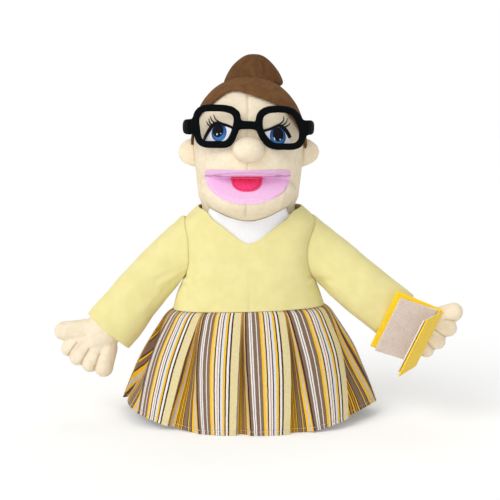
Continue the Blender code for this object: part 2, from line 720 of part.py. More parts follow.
EYES = {
    "left": {
        "white": ((-0.0415, 0.0025), (-0.0400, 0.0100), (-0.0335, 0.0162), (-0.0260, 0.0190),
                  (-0.0185, 0.0175), (-0.0148, 0.0142),
                  (-0.0150, 0.0070), (-0.0225, 0.0025)),
        "lid": ((-0.0440, 0.0055), (-0.0416, 0.0112), (-0.0350, 0.0186), (-0.0270, 0.0220), (-0.0180, 0.0202),
                (-0.0130, 0.0156),
                (-0.0142, 0.0149), (-0.0188, 0.0182), (-0.0265, 0.0199), (-0.0339, 0.0170), (-0.0405, 0.0106),
                (-0.0422, 0.0046)),
        "iris": (-0.0283, 0.0106, 0.0069, 0.0076),
        "pupil": (-0.0284, 0.0118, 0.0048, 0.0057),
    },
    "right": {
        "white": ((0.0143, 0.0106), (0.0155, 0.0140), (0.0210, 0.0164), (0.0286, 0.0170), (0.0355, 0.0130),
                  (0.0394, 0.0045),
                  (0.0320, 0.0002), (0.0200, 0.0005)),
        "lid": ((0.0126, 0.0136), (0.0185, 0.0186), (0.0285, 0.0202), (0.0370, 0.0160), (0.0416, 0.0070),
                (0.0404, 0.0056),
                (0.0362, 0.0136), (0.0289, 0.0179), (0.0204, 0.0172), (0.0144, 0.0144)),
        "iris": (0.0293, 0.0069, 0.0070, 0.0080),
        "pupil": (0.0300, 0.0090, 0.0049, 0.0064),
    },
}
THREAD = 0.00045           # height of the satin stitches


def face_patch(name, outline, level, material):
    """Field of thread over an outline of (across, above the middle of the head), on the face at a level."""
    points = [Vector((x, AHEAD_Y, CROWN_MID_Z + z)) for x, z in outline]
    patch = add_object(name, prism(points, (0.0, 1.0, 0.0), FACE_DEPTH + 0.003), material)
    keep_inside(patch, head_form(level + THREAD, columns=56))
    cut(patch, head_form(level, columns=56))
    return tidy_mesh(patch, distance=0.00001)


def oval(x, z, half_width, half_height, count=18):
    return [(x + half_width * math.cos(2.0 * math.pi * i / count), z + half_height * math.sin(2.0 * math.pi * i / count))
            for i in range(count)]


def build_eyes(white, iris, pupil, lash):
    step = THREAD + SEAT
    for side, fields in EYES.items():
        face_patch("eye_white_" + side, fields["white"], SEAT, white)
        face_patch("lash_line_" + side, fields["lid"], SEAT, lash)
        face_patch("iris_" + side, oval(*fields["iris"]), SEAT + step, iris)
        face_patch("pupil_" + side, oval(*fields["pupil"]), SEAT + 2.0 * step, pupil)


# Glasses

RIMS = (
    ((-0.0492, 0.0260), (-0.0430, 0.0336), (-0.0300, 0.0346), (-0.0165, 0.0326), (-0.0108, 0.0270),
    (-0.0116, 0.0160),
     (-0.0185, 0.0018), (-0.0300, 0.0002), (-0.0425, 0.0012), (-0.0475, 0.0070)),
    ((0.0102, 0.0240), (0.0150, 0.0312), (0.0275, 0.0336), (0.0420, 0.0306), (0.0500, 0.0180), (0.0508, 0.0060),
     (0.0455, -0.0008), (0.0330, -0.0016), (0.0205, 0.0002), (0.0122, 0.0105)),
)


def front_plane(x):
    """Depth of the glasses' middle, which wraps round the face."""
    return (HEAD_MID_Y - FACE_DEPTH - 0.0012 - SEAT - GLASSES_THICKNESS / 2.0) + WRAP_DEPTH * (x / WRAP_HALF_WIDTH) ** 2


def rounded_section(width, thickness):
    """Eight points of a softly rounded bar section."""
    w, t = width / 2.0, thickness / 2.0
    return ((w, -t * 0.45), (w, t * 0.45), (w * 0.5, t), (-w * 0.5, t), (-w, t * 0.45), (-w, -t * 0.45),
            (-w * 0.5, -t), (w * 0.5, -t))


def smooth_loop(points, per_span=3):
    """Closed smooth curve through points of (x, z)."""
    found = []
    count = len(points)
    for i in range(count):
        a, b, c, d = (Vector(points[(i + k) % count]) for k in (-1, 0, 1, 2))
        for k in range(per_span):
            s = k / per_span
            found.append(0.5 * ((2 * b) + (c - a) * s + (2 * a - 5 * b + 4 * c - d) * s**2
                                + (3 * b - a - 3 * c + d) * s**3))
    return found


def build_rim(points):
    path = [Vector((p.x, 0.0, CROWN_MID_Z + p.y)) for p in smooth_loop(points)]
    count = len(path)
    rings = []
    for i, place in enumerate(path):
        along = (path[(i + 1) % count] - path[i - 1]).normalized()
        across = Vector((along.z, 0.0, -along.x))
        ring = []
        for u, v in rounded_section(RIM_WIDTH, GLASSES_THICKNESS):
            point = place + across * u
            ring.append(Vector((point.x, front_plane(point.x) + v, point.z)))
        rings.append(ring)
    bm = bmesh.new()
    rows = [[bm.verts.new(point) for point in ring] for ring in rings]
    for i in range(count):
        low, high = rows[i], rows[(i + 1) % count]
        for k in range(8):
            m = (k + 1) % 8
            bm.faces.new((low[k], low[m], high[m], high[k]))
    bmesh.ops.recalc_face_normals(bm, faces=bm.faces)
    return bm


def bar(path, widths, thickness):
    """Open bar along 3-D points; its width stands along Z and its thickness across the path."""
    rings = []
    for i, place in enumerate(path):
        along = (path[min(i + 1, len(path) - 1)] - path[max(i - 1, 0)]).normalized()
        across = along.cross(Vector((0.0, 0.0, 1.0))).normalized()
        rings.append([place + Vector((0.0, 0.0, u)) + across * v
                      for u, v in rounded_section(widths[i], thickness)])
    return loft(rings)


def build_glasses(material):
    glasses = add_object("glasses_frame", build_rim(RIMS[0]), material)
    join(glasses, build_rim(RIMS[1]))
    bridge = [Vector((x, front_plane(x) + SEAT, BRIDGE_Z)) for x, _ in BRIDGE_BARS]
    join(glasses, bar(bridge, [height for _, height in BRIDGE_BARS], GLASSES_THICKNESS - 0.0008))
    for side, root_x, above in TEMPLE_ROOTS:
        root_z = CROWN_MID_Z + above
        clear = HEAD_HALF_WIDTH + HAIR_THICKNESS + 2.0 * SEAT + GLASSES_THICKNESS / 2.0
        path = [Vector((side * root_x, front_plane(root_x), root_z)),
                Vector((side * (LUG_REACH - 0.0010), front_plane(root_x) + 0.0015, root_z)),
                Vector((side * (LUG_REACH + 0.0020), front_plane(root_x) + 0.0075, root_z)),
                Vector((side * (clear + 0.0006), -0.026, root_z)),
                Vector((side * (clear + 0.0002), TEMPLE_END_Y, root_z - 0.0005))]
        widths = (TEMPLE_HEIGHT * 0.95, TEMPLE_HEIGHT, TEMPLE_HEIGHT, TEMPLE_HEIGHT * 0.9, TEMPLE_HEIGHT * 0.7)
        join(glasses, bar(path, widths, GLASSES_THICKNESS - 0.0004))
    cut(glasses, head_form(SEAT))
    cut(glasses, nose_form(SEAT))
    return tidy_mesh(glasses)


# Arms: sections from the armhole to the cuff, each an upper and a lower edge point,
# given as (out from the armhole, above the shoulder)
ARMS = {
    "left": (
        (-0.0075, 0.0015, -0.0035, -0.0640),
        (0.0185, -0.0085, 0.0105, -0.0710),
        (0.0455, -0.0340, 0.0215, -0.0835),
        (0.0705, -0.0610, 0.0380, -0.1055),
        (0.0895, -0.0832, 0.0500, -0.1220),
        (0.1017, -0.0974, 0.0613, -0.1340),
    ),
    "right": (
        (-0.0075, 0.0015, -0.0035, -0.0640),
        (0.0185, -0.0075, 0.0105, -0.0690),
        (0.0435, -0.0275, 0.0220, -0.0805),
        (0.0715, -0.0500, 0.0415, -0.0975),
        (0.0935, -0.0678, 0.0585, -0.1100),
        (0.1115, -0.0832, 0.0745, -0.1220),
    ),
}
ARM_THICKNESS = (0.0265, 0.0235, 0.0190, 0.0165, 0.0150, 0.0148)
ARM_DEPTH = {"left": -0.005, "right": -0.0165}
HAND_SHIFT = {"left": (0.0, 0.0), "right": (0.0050, 0.0030)}   # across the hand, and forward


def arm_sections(side):
    """Upper and lower edge point of each section, in the plane through the arms."""
    sign = -1.0 if side == "left" else 1.0
    return [(Vector((sign * (ARMHOLE_HALF_WIDTH + row[0]), 0.0, SHOULDER_Z + row[1])),
             Vector((sign * (ARMHOLE_HALF_WIDTH + row[2]), 0.0, SHOULDER_Z + row[3]))) for row in ARMS[side]]


def arm_ring(section, half_thickness, depth, scale=1.0, shift=None, columns=22):
    top, bottom = section
    middle, half = (top + bottom) / 2.0, (top - bottom) / 2.0
    offset = Vector(shift) if shift else Vector((0.0, 0.0, 0.0))
    ring = []
    for i in range(columns):
        x, y = superellipse(2.0 * math.pi * i / columns, 2.2)
        ring.append(middle + half * x * scale + Vector((0.0, depth + y * half_thickness * scale, 0.0)) + offset)
    return ring


def arm_axis(side):
    """Middle of the cuff, and the way out of it."""
    top, bottom = arm_sections(side)[-1]
    edge = (top - bottom).normalized()
    out = Vector((edge.z, 0.0, -edge.x)) if side == "right" else Vector((-edge.z, 0.0, edge.x))
    centre = (top + bottom) / 2.0
    centre.y = ARM_DEPTH[side]
    return centre, out, edge


def cuff_plug(side, clearance, depth):
    """The wrist's end inside the cuff: the cuff's own section, smaller."""
    centre, out, edge = arm_axis(side)
    section = arm_sections(side)[-1]
    half = (section[0] - section[1]).length / 2.0
    scale = CUFF_INSET - clearance / half
    rings = [arm_ring(section, ARM_THICKNESS[-1], ARM_DEPTH[side], scale, out * reach)
             for reach in (-depth, 0.004)]
    return loft(rings)


def build_sleeve(side, material):
    depths = [mix(0.0, ARM_DEPTH[side], smooth_step(i / 3.0)) for i in range(6)]
    rings = [arm_ring(section, ARM_THICKNESS[i], depths[i]) for i, section in enumerate(arm_sections(side))]
    sleeve = add_object("sleeve_" + side, loft(rings), material)
    cut(sleeve, cuff_plug(side, 0.0, CUFF_DEPTH))
    cut(sleeve, bodice_limit(SEAT))
    return tidy_mesh(sleeve)


# Digits: base and tip, each (along the hand, across it), and radius
DIGITS = (
    (0.0170, 0.0140, 0.0285, 0.0300, 0.0108),
    (0.0270, 0.0120, 0.0390, 0.0185, 0.0092),
    (0.0300, 0.0025, 0.0415, 0.0025, 0.0090),
    (0.0280, -0.0075, 0.0380, -0.0105, 0.0088),
    (0.0210, -0.0150, 0.0315, -0.0210, 0.0088),
)


def hand_frame(side):
    """Origin at the cuff, then the directions along the hand, across it towards the thumb, and forward."""
    centre, out, edge = arm_axis(side)
    forward = Vector((0.0, -1.0, 0.0)) if side == "left" else book_normal() * 0.55 + Vector((0.0, -0.45, 0.0))
    forward.normalize()
    out = (out - forward * out.dot(forward)).normalized()
    across = (edge - forward * edge.dot(forward) - out * edge.dot(out)).normalized()
    return centre, out, across, forward


def build_hand(side, size, material):
    centre, out, across, forward = hand_frame(side)
    frame = Matrix((out, across, forward)).transposed()
    centre = centre + across * HAND_SHIFT[side][0] + forward * HAND_SHIFT[side][1]
    palm = centre + out * PALM_REACH * size
    hand = add_object("hand_" + side, ellipsoid(palm, [half * size for half in PALM_HALF], 18, 8, frame), material)
    join(hand, cuff_plug(side, SEAT, CUFF_DEPTH - SEAT))
    for base_u, base_v, tip_u, tip_v, radius in DIGITS:
        base = centre + (out * base_u + across * base_v) * size
        tip = centre + (out * tip_u + across * tip_v) * size
        middle, along = (base + tip) / 2.0, (tip - base)
        length = along.length / 2.0 + radius * size
        along.normalize()
        turn = Matrix((along, forward.cross(along), forward)).transposed()
        half = (length, radius * size, radius * size * 0.98)
        join(hand, ellipsoid(middle, half, 12, 6, turn))
    cut(hand, sleeve_wall(side))
    if side == "right":
        cut(hand, book_slab(SEAT))
    return tidy_mesh(hand)


def sleeve_wall(side):
    """Room that the cuff's edge takes round the wrist: the cuff's ring, with its clearance."""
    centre, out, edge = arm_axis(side)
    section = arm_sections(side)[-1]
    half = (section[0] - section[1]).length / 2.0
    outer = [arm_ring(section, ARM_THICKNESS[-1], ARM_DEPTH[side], 1.10, out * reach)
             for reach in (-0.030, SEAT)]
    inner = [arm_ring(section, ARM_THICKNESS[-1], ARM_DEPTH[side], CUFF_INSET - SEAT / half, out * reach)
             for reach in (-0.030, SEAT)]
    return shell(outer, inner)


# Book

def book_frame():
    """Spine direction, width direction of the back cover and the way its leaf faces."""
    spine = Vector(BOOK_SPINE_DIRECTION).normalized()
    width = Vector(BOOK_WIDTH_DIRECTION)
    width = (width - spine * width.dot(spine)).normalized()
    normal = width.cross(spine).normalized()
    if normal.y > 0.0:
        normal.negate()
    return spine, width, normal


def book_normal():
    return book_frame()[2]


# The stack of a closed book, from the axis outwards: half a gap, leaf, gap, cover
LEAF_BOTTOM = SEAT / 2.0
COVER_INNER = SEAT / 2.0 + FELT + SEAT
COVER_OUTER = COVER_INNER + FELT


def book_piece(name, outline, start, length, open_deg, material):
    """Prism along the spine of an outline (away from the axis, towards the reader), turned by open_deg."""
    spine, width, normal = book_frame()
    turn = math.radians(open_deg)
    away = width * math.cos(turn) + normal * math.sin(turn)
    facing = normal * math.cos(turn) - width * math.sin(turn)
    top = Vector(BOOK_SPINE_TOP) + spine * start
    points = [top + away * u + facing * v for u, v in outline]
    return add_object(name, prism(points, spine, length), material, smooth_deg=30.0)


def back_cover_outline():
    """Cover with the rounded spine roll round the axis, joined at its inner edge."""
    roll = COVER_INNER - SEAT
    points = [(BOOK_WIDTH, -COVER_OUTER), (BOOK_WIDTH, -COVER_INNER), (roll * 0.95, -COVER_INNER)]
    for i in range(13):
        angle = math.radians(-38.0 + i * 22.6)
        points.append((roll * math.cos(angle), roll * math.sin(angle)))
    points.append((SPINE_EDGE + SEAT / 4.0, -COVER_INNER + 0.00005))
    points.append((SPINE_EDGE + SEAT / 4.0, -COVER_OUTER))
    return points


def build_book(yellow, page):
    leaf_in = COVER_INNER + SEAT
    leaf = ((leaf_in, LEAF_BOTTOM), (BOOK_WIDTH - LEAF_MARGIN, LEAF_BOTTOM),
            (BOOK_WIDTH - LEAF_MARGIN, LEAF_BOTTOM + FELT), (leaf_in, LEAF_BOTTOM + FELT))
    cover = ((SPINE_EDGE, COVER_INNER), (BOOK_WIDTH, COVER_INNER), (BOOK_WIDTH, COVER_OUTER),
             (SPINE_EDGE, COVER_OUTER))
    mirrored = [(u, -v) for u, v in leaf]
    leaf_length = BOOK_HEIGHT - 2.0 * LEAF_MARGIN
    book_piece("book_back_cover", back_cover_outline(), 0.0, BOOK_HEIGHT, 0.0, yellow)
    book_piece("book_page_back", mirrored, LEAF_MARGIN, leaf_length, 0.0, page)
    book_piece("book_front_cover", cover, 0.0, BOOK_HEIGHT, BOOK_OPEN_DEG, yellow)
    book_piece("book_page_front", leaf, LEAF_MARGIN, leaf_length, BOOK_OPEN_DEG, page)


def book_slab(clearance):
    """Room in front of the hand that the back cover takes, and the opened front cover beside it."""
    spine, width, normal = book_frame()
    top = Vector(BOOK_SPINE_TOP)
    reach = BOOK_WIDTH + 0.006
    low = -(COVER_OUTER + clearance)
    corners = [(-reach, low), (reach, low), (reach, 0.060), (-reach, 0.060)]
    points = [top - spine * 0.030 + width * u + normal * v for u, v in corners]
    return prism(points, spine, BOOK_HEIGHT + 0.060)


def build():
    clear_scene()
    cream = make_material("cream_plush", (0.86, 0.72, 0.50), 0.95)
    brown = make_material("brown_plush", (0.17, 0.075, 0.022), 0.95)
    jersey = make_material("yellow_jersey", (0.88, 0.80, 0.36), 0.9)
    stripes = make_material("striped_cotton", (0.62, 0.48, 0.28), 0.85)
    white = make_material("white_cotton", (0.93, 0.93, 0.95), 0.85)
    pink = make_material("pink_felt", (0.86, 0.42, 0.80), 0.9)
    hot_pink = make_material("hot_pink_felt", (0.84, 0.03, 0.15), 0.9)
    black = make_material("black_cloth", (0.008, 0.010, 0.012), 0.85)
    blue = make_material("blue_thread", (0.01, 0.13, 0.52), 0.5)
    yellow = make_material("yellow_felt", (0.95, 0.60, 0.01), 0.9)
    page = make_material("page_felt", (0.68, 0.60, 0.56), 0.9)

    build_skirt(stripes)
    build_bodice(jersey)
    build_inset(white)
    build_head(cream)
    build_mouth_lining(pink)
    build_tongue(hot_pink)
    build_nose(cream)
    for name, side in (("ear_left", -1.0), ("ear_right", 1.0)):
        build_ear(name, side, cream)
    build_hair_cap(brown)
    build_bun(brown)
    build_eyes(white, blue, black, black)
    build_glasses(black)
    for side in ("left", "right"):
        build_sleeve(side, jersey)
        build_hand(side, HAND_SIZE, cream)
    build_book(yellow, page)


build()
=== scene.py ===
"""Looks of the teacher hand puppet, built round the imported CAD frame.

Metres, +Z up, the puppet faces -Y. Left is -X, as the viewer in front of it sees it.
Every piece of cloth and plush starts from the space that its CAD solid holds.
"""
from __future__ import annotations

import logging
import math
from dataclasses import dataclass
from enum import Enum
from typing import Any, Callable, Iterable, Sequence

import bpy
import numpy as np
from mathutils import Matrix, Vector, noise
from mathutils.bvhtree import BVHTree


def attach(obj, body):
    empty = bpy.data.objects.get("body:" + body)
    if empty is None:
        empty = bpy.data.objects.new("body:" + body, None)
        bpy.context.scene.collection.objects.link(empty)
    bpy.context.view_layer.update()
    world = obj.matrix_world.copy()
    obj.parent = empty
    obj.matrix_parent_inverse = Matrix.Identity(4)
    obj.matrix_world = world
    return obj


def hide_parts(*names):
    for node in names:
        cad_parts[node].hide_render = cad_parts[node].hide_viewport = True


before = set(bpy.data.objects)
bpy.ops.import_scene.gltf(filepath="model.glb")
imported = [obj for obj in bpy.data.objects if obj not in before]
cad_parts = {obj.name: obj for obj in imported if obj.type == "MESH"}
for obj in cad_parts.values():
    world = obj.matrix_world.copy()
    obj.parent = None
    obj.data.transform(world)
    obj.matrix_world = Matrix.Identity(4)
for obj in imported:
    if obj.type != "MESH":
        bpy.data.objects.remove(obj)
LOG = logging.getLogger("teacher_puppet")
Piece = bpy.types.Object
Points2 = tuple[tuple[float, float], ...]
Points3 = tuple[tuple[float, float, float], ...]
PUPPET = "puppet"
BOOK_COVER = "book_cover"
SEAM_AND_SHADE = "seam"               # point attribute: 1 in the bottom of seams and creases, 0 away from them; it darkens the seams' own lines and paints shade in grooves, where parts meet and over shaded pieces
CUT_EDGE_HIGHLIGHT = "cut_edge"       # point attribute: 1 on the edges of a felt sheet, where a painted highlight goes
MILLIMETRE = 0.001
HEAD_MIDDLE = Vector((0.0, -0.004, 0.270))
IN_FRONT = -0.2             # y from which rays look at the puppet
BACKWARDS = Vector((0.0, 1.0, 0.0))
MERGE = 0.00001             # points closer than this are one


def paint(red: int, green: int, blue: int) -> tuple[float, float, float, float]:
    """Linear colour of a paint chart value from 0 to 255."""
    linear = [c / 12.92 if c <= 0.04045 else ((c + 0.055) / 1.055) ** 2.4
              for c in (red / 255.0, green / 255.0, blue / 255.0)]
    return (*linear, 1.0)


def darker(colour: Sequence[float], share: float) -> tuple[float, ...]:
    """A colour with a share of its light."""
    return (*(c * share for c in colour[:3]), 1.0)


# Shader maths

class Signal:
    """A shader socket that takes part in Python expressions."""

    def __init__(self, graph: Graph, socket: bpy.types.NodeSocket) -> None:
        self.graph = graph
        self.socket = socket

    def maths(self, operation: str, *others: Signal | float, swap: bool = False) -> Signal:
        """Math node on this signal and others.

        Args:
            operation: the Math node's operation.
            others: further values or signals.
            swap: whether this signal comes second.

        Returns:
            The node's result.
        """
        values = [self, *others]
        if swap:
            values.reverse()
        return self.graph.add("ShaderNodeMath", {"operation": operation}, dict(enumerate(values)))

    def __add__(self, other: Signal | float) -> Signal:
        """Sum."""
        return self.maths("ADD", other)

    def __sub__(self, other: Signal | float) -> Signal:
        """Difference."""
        return self.maths("SUBTRACT", other)

    def __rsub__(self, other: float) -> Signal:
        """Difference from a number."""
        return self.maths("SUBTRACT", other, swap=True)

    def __mul__(self, other: Signal | float) -> Signal:
        """Product."""
        return self.maths("MULTIPLY", other)

    __radd__ = __add__
    __rmul__ = __mul__

    def above(self, limit: Signal | float) -> Signal:
        """1 where this signal is over a limit."""
        return self.maths("GREATER_THAN", limit)

    def fraction(self) -> Signal:
        """Part after the decimal point."""
        return self.maths("FRACT")

    def sine(self) -> Signal:
        """Sine."""
        return self.maths("SINE")

    def size(self) -> Signal:
        """Absolute value."""
        return self.maths("ABSOLUTE")

    def ramp(self, low: float, high: float, to_low: float = 0.0, to_high: float = 1.0) -> Signal:
        """Smooth change from to_low at low to to_high at high."""
        return self.graph.add("ShaderNodeMapRange", {"interpolation_type": "SMOOTHSTEP"}, {
            "Value": self, "From Min": low, "From Max": high, "To Min": to_low, "To Max": to_high})


class Graph:
    """Node tree of a new material or world."""

    def __init__(self, name: str, kind: str = "materials") -> None:
        self.owner = getattr(bpy.data, kind).new(name)
        self.owner.use_nodes = True
        self.tree = self.owner.node_tree
        self.tree.nodes.clear()
        self.place = self.add("ShaderNodeTexCoord", output="Object")

    def add(self, kind: str, settings: dict[str, Any] | None = None,
            inputs: dict[str | int, Any] | None = None, output: str | int = 0) -> Signal:
        """Add a node of any type.

        Args:
            kind: the node's type.
            settings: its settings, and "stops" for a colour ramp as (place, colour) pairs.
            inputs: values or signals by socket name or number.
            output: the socket that is wanted.

        Returns:
            The wanted output.
        """
        node = self.tree.nodes.new(kind)
        for key, value in (settings or {}).items():
            if key == "stops":
                self.set_stops(node.color_ramp, value)
            elif key == "interpolation":
                node.color_ramp.interpolation = value
            else:
                setattr(node, key, value)
        for key, value in (inputs or {}).items():
            if isinstance(value, Signal):
                self.tree.links.new(value.socket, node.inputs[key])
            else:
                node.inputs[key].default_value = value
        return Signal(self, node.outputs[output])

    @staticmethod
    def set_stops(ramp: bpy.types.ColorRamp, stops: Sequence[tuple[float, Sequence[float]]]) -> None:
        """Give a colour ramp its stops, in order."""
        while len(ramp.elements) < len(stops):
            ramp.elements.new(1.0)
        for element, (place, colour) in zip(ramp.elements, stops):
            element.position = place
            element.color = colour

    def noise(self, per_metre: float, detail: float = 2.0, stretch: Sequence[float] = (1.0, 1.0, 1.0)) -> Signal:
        """Noise with a number of features per metre of the object's own coordinates."""
        place = self.place
        if tuple(stretch) != (1.0, 1.0, 1.0):
            place = self.add("ShaderNodeMapping", None, {"Vector": self.place, "Scale": stretch})
        return self.add("ShaderNodeTexNoise", None, {"Vector": place, "Scale": per_metre, "Detail": detail})

    def blend(self, share: Signal | float, first: Any, second: Any, mode: str = "MIX") -> Signal:
        """Mix two colours by a share, which runs from the first to the second."""
        return self.add("ShaderNodeMix", {"data_type": "RGBA", "blend_type": mode},
                        {0: share, 6: first, 7: second}, output=2)

    def mark(self, name: str) -> Signal:
        """A mark of the mesh, from 0 to 1."""
        return self.add("ShaderNodeAttribute", {"attribute_name": name}, output="Fac")

    def seam(self) -> Signal:
        """How deep the surface lies in seams and creases, which darkens the seams' lines and paints shade."""
        return self.mark(SEAM_AND_SHADE)

    def parts(self, source: Signal) -> tuple[Signal, ...]:
        """The three numbers of a vector."""
        split = self.add("ShaderNodeSeparateXYZ", None, {0: source})
        return tuple(Signal(self, output) for output in split.socket.node.outputs)

    def uv(self, name: str) -> tuple[Signal, ...]:
        """The two coordinates of a named UV map."""
        return self.parts(self.add("ShaderNodeUVMap", {"uv_map": name}))[:2]

    def axes(self) -> tuple[Signal, ...]:
        """The object's own coordinates, one by one."""
        return self.parts(self.place)

    def finish(self, colour: Any, height: Signal | None, depth: float, roughness: Signal | float,
               sheen: float = 0.0, sheen_roughness: float = 0.5, specular: float = 0.3,
               sheen_tint: Sequence[float] = (1.0, 1.0, 1.0, 1.0)) -> bpy.types.Material:
        """Close the finish with one shader.

        Args:
            colour: base colour.
            height: relief from 0 to 1, if there is any.
            depth: how deep the relief is, in metres.
            roughness: roughness of the surface.
            sheen: share of light that loose fibres scatter.
            sheen_roughness: how widely they scatter it.
            specular: level of the surface's own gloss.
            sheen_tint: colour of the scattered light.

        Returns:
            The material.
        """
        inputs = {"Base Color": colour, "Roughness": roughness, "Sheen Weight": sheen,
                  "Sheen Roughness": sheen_roughness, "Sheen Tint": tuple(sheen_tint),
                  "Specular IOR Level": specular}
        if height is not None:
            inputs["Normal"] = self.add("ShaderNodeBump", None, {"Strength": 1.0, "Distance": depth,
                                                                 "Height": height})
        shader = self.add("ShaderNodeBsdfPrincipled", None, inputs)
        self.add_output(shader)
        return self.owner

    def add_output(self, shader: Signal, kind: str = "ShaderNodeOutputMaterial") -> None:
        """Lead a shader to the tree's output."""
        output = self.tree.nodes.new(kind)
        self.tree.links.new(shader.socket, output.inputs["Surface"])


# Finishes

@dataclass(frozen=True)
class PlushFinish:
    """Short-pile plush: a nap of fine fibres that lies in soft patches."""

    name: str
    colour: tuple[float, ...]
    nap_shade: tuple[float, ...]      # painted shade where the nap lies away from the light, in soft patches
    tip: tuple[float, ...]       # ends of the fibres
    # painted shade of seams, creases and joins
    seam_and_shade_colour: tuple[float, ...]
    patches_per_metre: float = 150.0
    fibres_per_metre: float = 1700.0
    pile_depth: float = 0.00026
    sheen: float = 0.18

    def build(self) -> bpy.types.Material:
        """Make the material."""
        graph = Graph(self.name)
        patches = graph.noise(self.patches_per_metre, 3.0).ramp(0.36, 0.66)
        speckle = graph.noise(self.patches_per_metre * 5.0, 2.0).ramp(0.35, 0.7)
        fibres = graph.noise(self.fibres_per_metre, 2.0, (1.0, 1.0, 0.45)).ramp(0.3, 0.7)
        # painted shade of the nap, in soft patches
        colour = graph.blend(patches * 0.6 + speckle * 0.25, self.colour, self.nap_shade)
        colour = graph.blend(fibres * 0.35, colour, self.tip)
        # painted shade in seams, creases and where parts meet
        colour = graph.blend(graph.seam() * 0.75, colour, self.seam_and_shade_colour)
        height = fibres * 0.5 + speckle * 0.35 + patches * 0.3
        return graph.finish(colour, height, self.pile_depth, fibres.ramp(0.0, 1.0, 0.98, 0.86), self.sheen, 0.4,
                            0.15, self.tip)


@dataclass(frozen=True)
class KnitFinish:
    """Fine jersey: rows of tiny loops, soft and even."""

    name: str
    colour: tuple[float, ...]
    shade: tuple[float, ...]
    loops_per_metre: float = 1250.0
    relief: float = 0.00012

    def build(self) -> bpy.types.Material:
        """Make the material."""
        graph = Graph(self.name)
        across, deep, up = graph.axes()
        turn = 2.0 * math.pi * self.loops_per_metre
        wale = ((across + deep * 0.7) * turn).sine().size()
        course = (up * turn * 0.8 + ((across + deep * 0.7) * (turn * 2.0)).sine() * 0.6).sine().size()
        loops = wale * 0.6 + course * 0.4
        cloud = graph.noise(70.0, 3.0).ramp(0.3, 0.7)
        fuzz = graph.noise(2400.0, 1.0)
        colour = graph.blend(cloud * 0.35 + (1.0 - loops) * 0.30, self.colour, self.shade)
        # painted shade in seams and where parts meet
        colour = graph.blend(graph.seam() * 0.85, colour, darker(self.shade, 0.34))
        return graph.finish(colour, loops * 0.7 + fuzz * 0.3, self.relief, 0.88, 0.15, 0.5, 0.2)


@dataclass(frozen=True)
class WovenFinish:
    """Plain weave: threads over and under each other, in one colour."""

    name: str
    colour: tuple[float, ...]
    shade: tuple[float, ...]
    threads_per_metre: float = 1500.0
    relief: float = 0.00012
    roughness: float = 0.85
    sheen: float = 0.1
    specular: float = 0.25

    def build(self) -> bpy.types.Material:
        """Make the material."""
        graph = Graph(self.name)
        across, deep, up = graph.axes()
        turn = math.pi * self.threads_per_metre
        weft = ((up + deep * 0.5) * turn).sine().size()
        warp = ((across + deep * 0.4) * turn).sine().size()
        slub = graph.noise(420.0, 3.0, (1.0, 1.0, 0.25)).ramp(0.3, 0.75)
        weave = weft * warp
        colour = graph.blend((1.0 - weave) * 0.45 + slub * 0.35, self.colour, self.shade)
        # painted shade in seams, creases and over shaded pieces
        colour = graph.blend(graph.seam() * 0.8, colour, darker(self.shade, 0.4))
        return graph.finish(colour, weave * 0.7 + slub * 0.4, self.relief, slub.ramp(0.0, 1.0, self.roughness,
                            self.roughness - 0.1), self.sheen, 0.5, self.specular)


@dataclass(frozen=True)
class FeltFinish:
    """Pressed felt: short tangled fibres with no direction."""

    name: str
    colour: tuple[float, ...]
    shade: tuple[float, ...]
    light: tuple[float, ...]
    edge_highlight: tuple[float, ...] | None = None     # painted highlight along the sheet's edges
    relief: float = 0.00016

    def build(self) -> bpy.types.Material:
        """Make the material."""
        graph = Graph(self.name)
        tangle = graph.noise(1400.0, 4.0).ramp(0.3, 0.72)
        strands = graph.noise(520.0, 3.0, (1.0, 0.35, 1.4)).ramp(0.42, 0.62)
        cloud = graph.noise(90.0, 2.0).ramp(0.3, 0.7)
        colour = graph.blend(cloud * 0.3 + (1.0 - tangle) * 0.45, self.colour, self.shade)
        colour = graph.blend(strands * 0.3, colour, self.light)
        # painted shade in seams and grooves
        colour = graph.blend(graph.seam() * 0.75, colour, darker(self.shade, 0.45))
        # painted highlight along the sheet's edges
        if self.edge_highlight:
            colour = graph.blend(graph.mark(CUT_EDGE_HIGHLIGHT), colour, self.edge_highlight)
        return graph.finish(colour, tangle * 0.7 + strands * 0.5, self.relief, 0.93, 0.2, 0.5, 0.15)


@dataclass(frozen=True)
class ThreadFinish:
    """Satin stitch: glossy threads side by side; its UV map says across and along the field."""

    name: str
    colour: tuple[float, ...]
    dark: tuple[float, ...]
    light: tuple[float, ...]
    pitch: float = 0.00042
    slant: float = 0.35          # how much the stitches lean
    rim: float = 0.0             # darker ring at the field's edge
    glow: float = 0.0            # lighter lower half
    specular: float = 0.45

    def build(self) -> bpy.types.Material:
        """Make the material."""
        graph = Graph(self.name)
        across, _, up = graph.axes()
        lay = ((across + up * self.slant) * (math.pi / self.pitch)).sine().size()
        broken = graph.noise(900.0, 2.0, (1.0, 1.0, 0.3)).ramp(0.3, 0.7)
        u, v = graph.uv("field")
        colour = graph.blend((1.0 - lay) * 0.35 + broken * 0.2, self.colour, self.dark)
        if self.glow:
            colour = graph.blend(v.ramp(0.35, -0.95) * self.glow, colour, self.light)
        if self.rim:
            edge = (u * u + v * v).ramp(0.55, 0.95)
            colour = graph.blend(edge * self.rim, colour, self.dark)
        return graph.finish(colour, lay * 0.8 + broken * 0.2, 0.00012, broken.ramp(0.0, 1.0, 0.42, 0.6), 0.0, 0.5,
                            self.specular)


class Stripe(Enum):
    """Yarns of the striped cotton."""

    BARK = paint(66, 38, 27)
    TAUPE = paint(136, 112, 93)
    WHITE = paint(246, 242, 240)
    GOLD = paint(252, 200, 50)
    CREAM = paint(238, 218, 160)
    TAN = paint(186, 140, 96)
    SKY = paint(226, 230, 236)
    BEIGE = paint(234, 219, 166)
    LAVENDER = paint(206, 204, 206)
    OCHRE = paint(206, 148, 30)


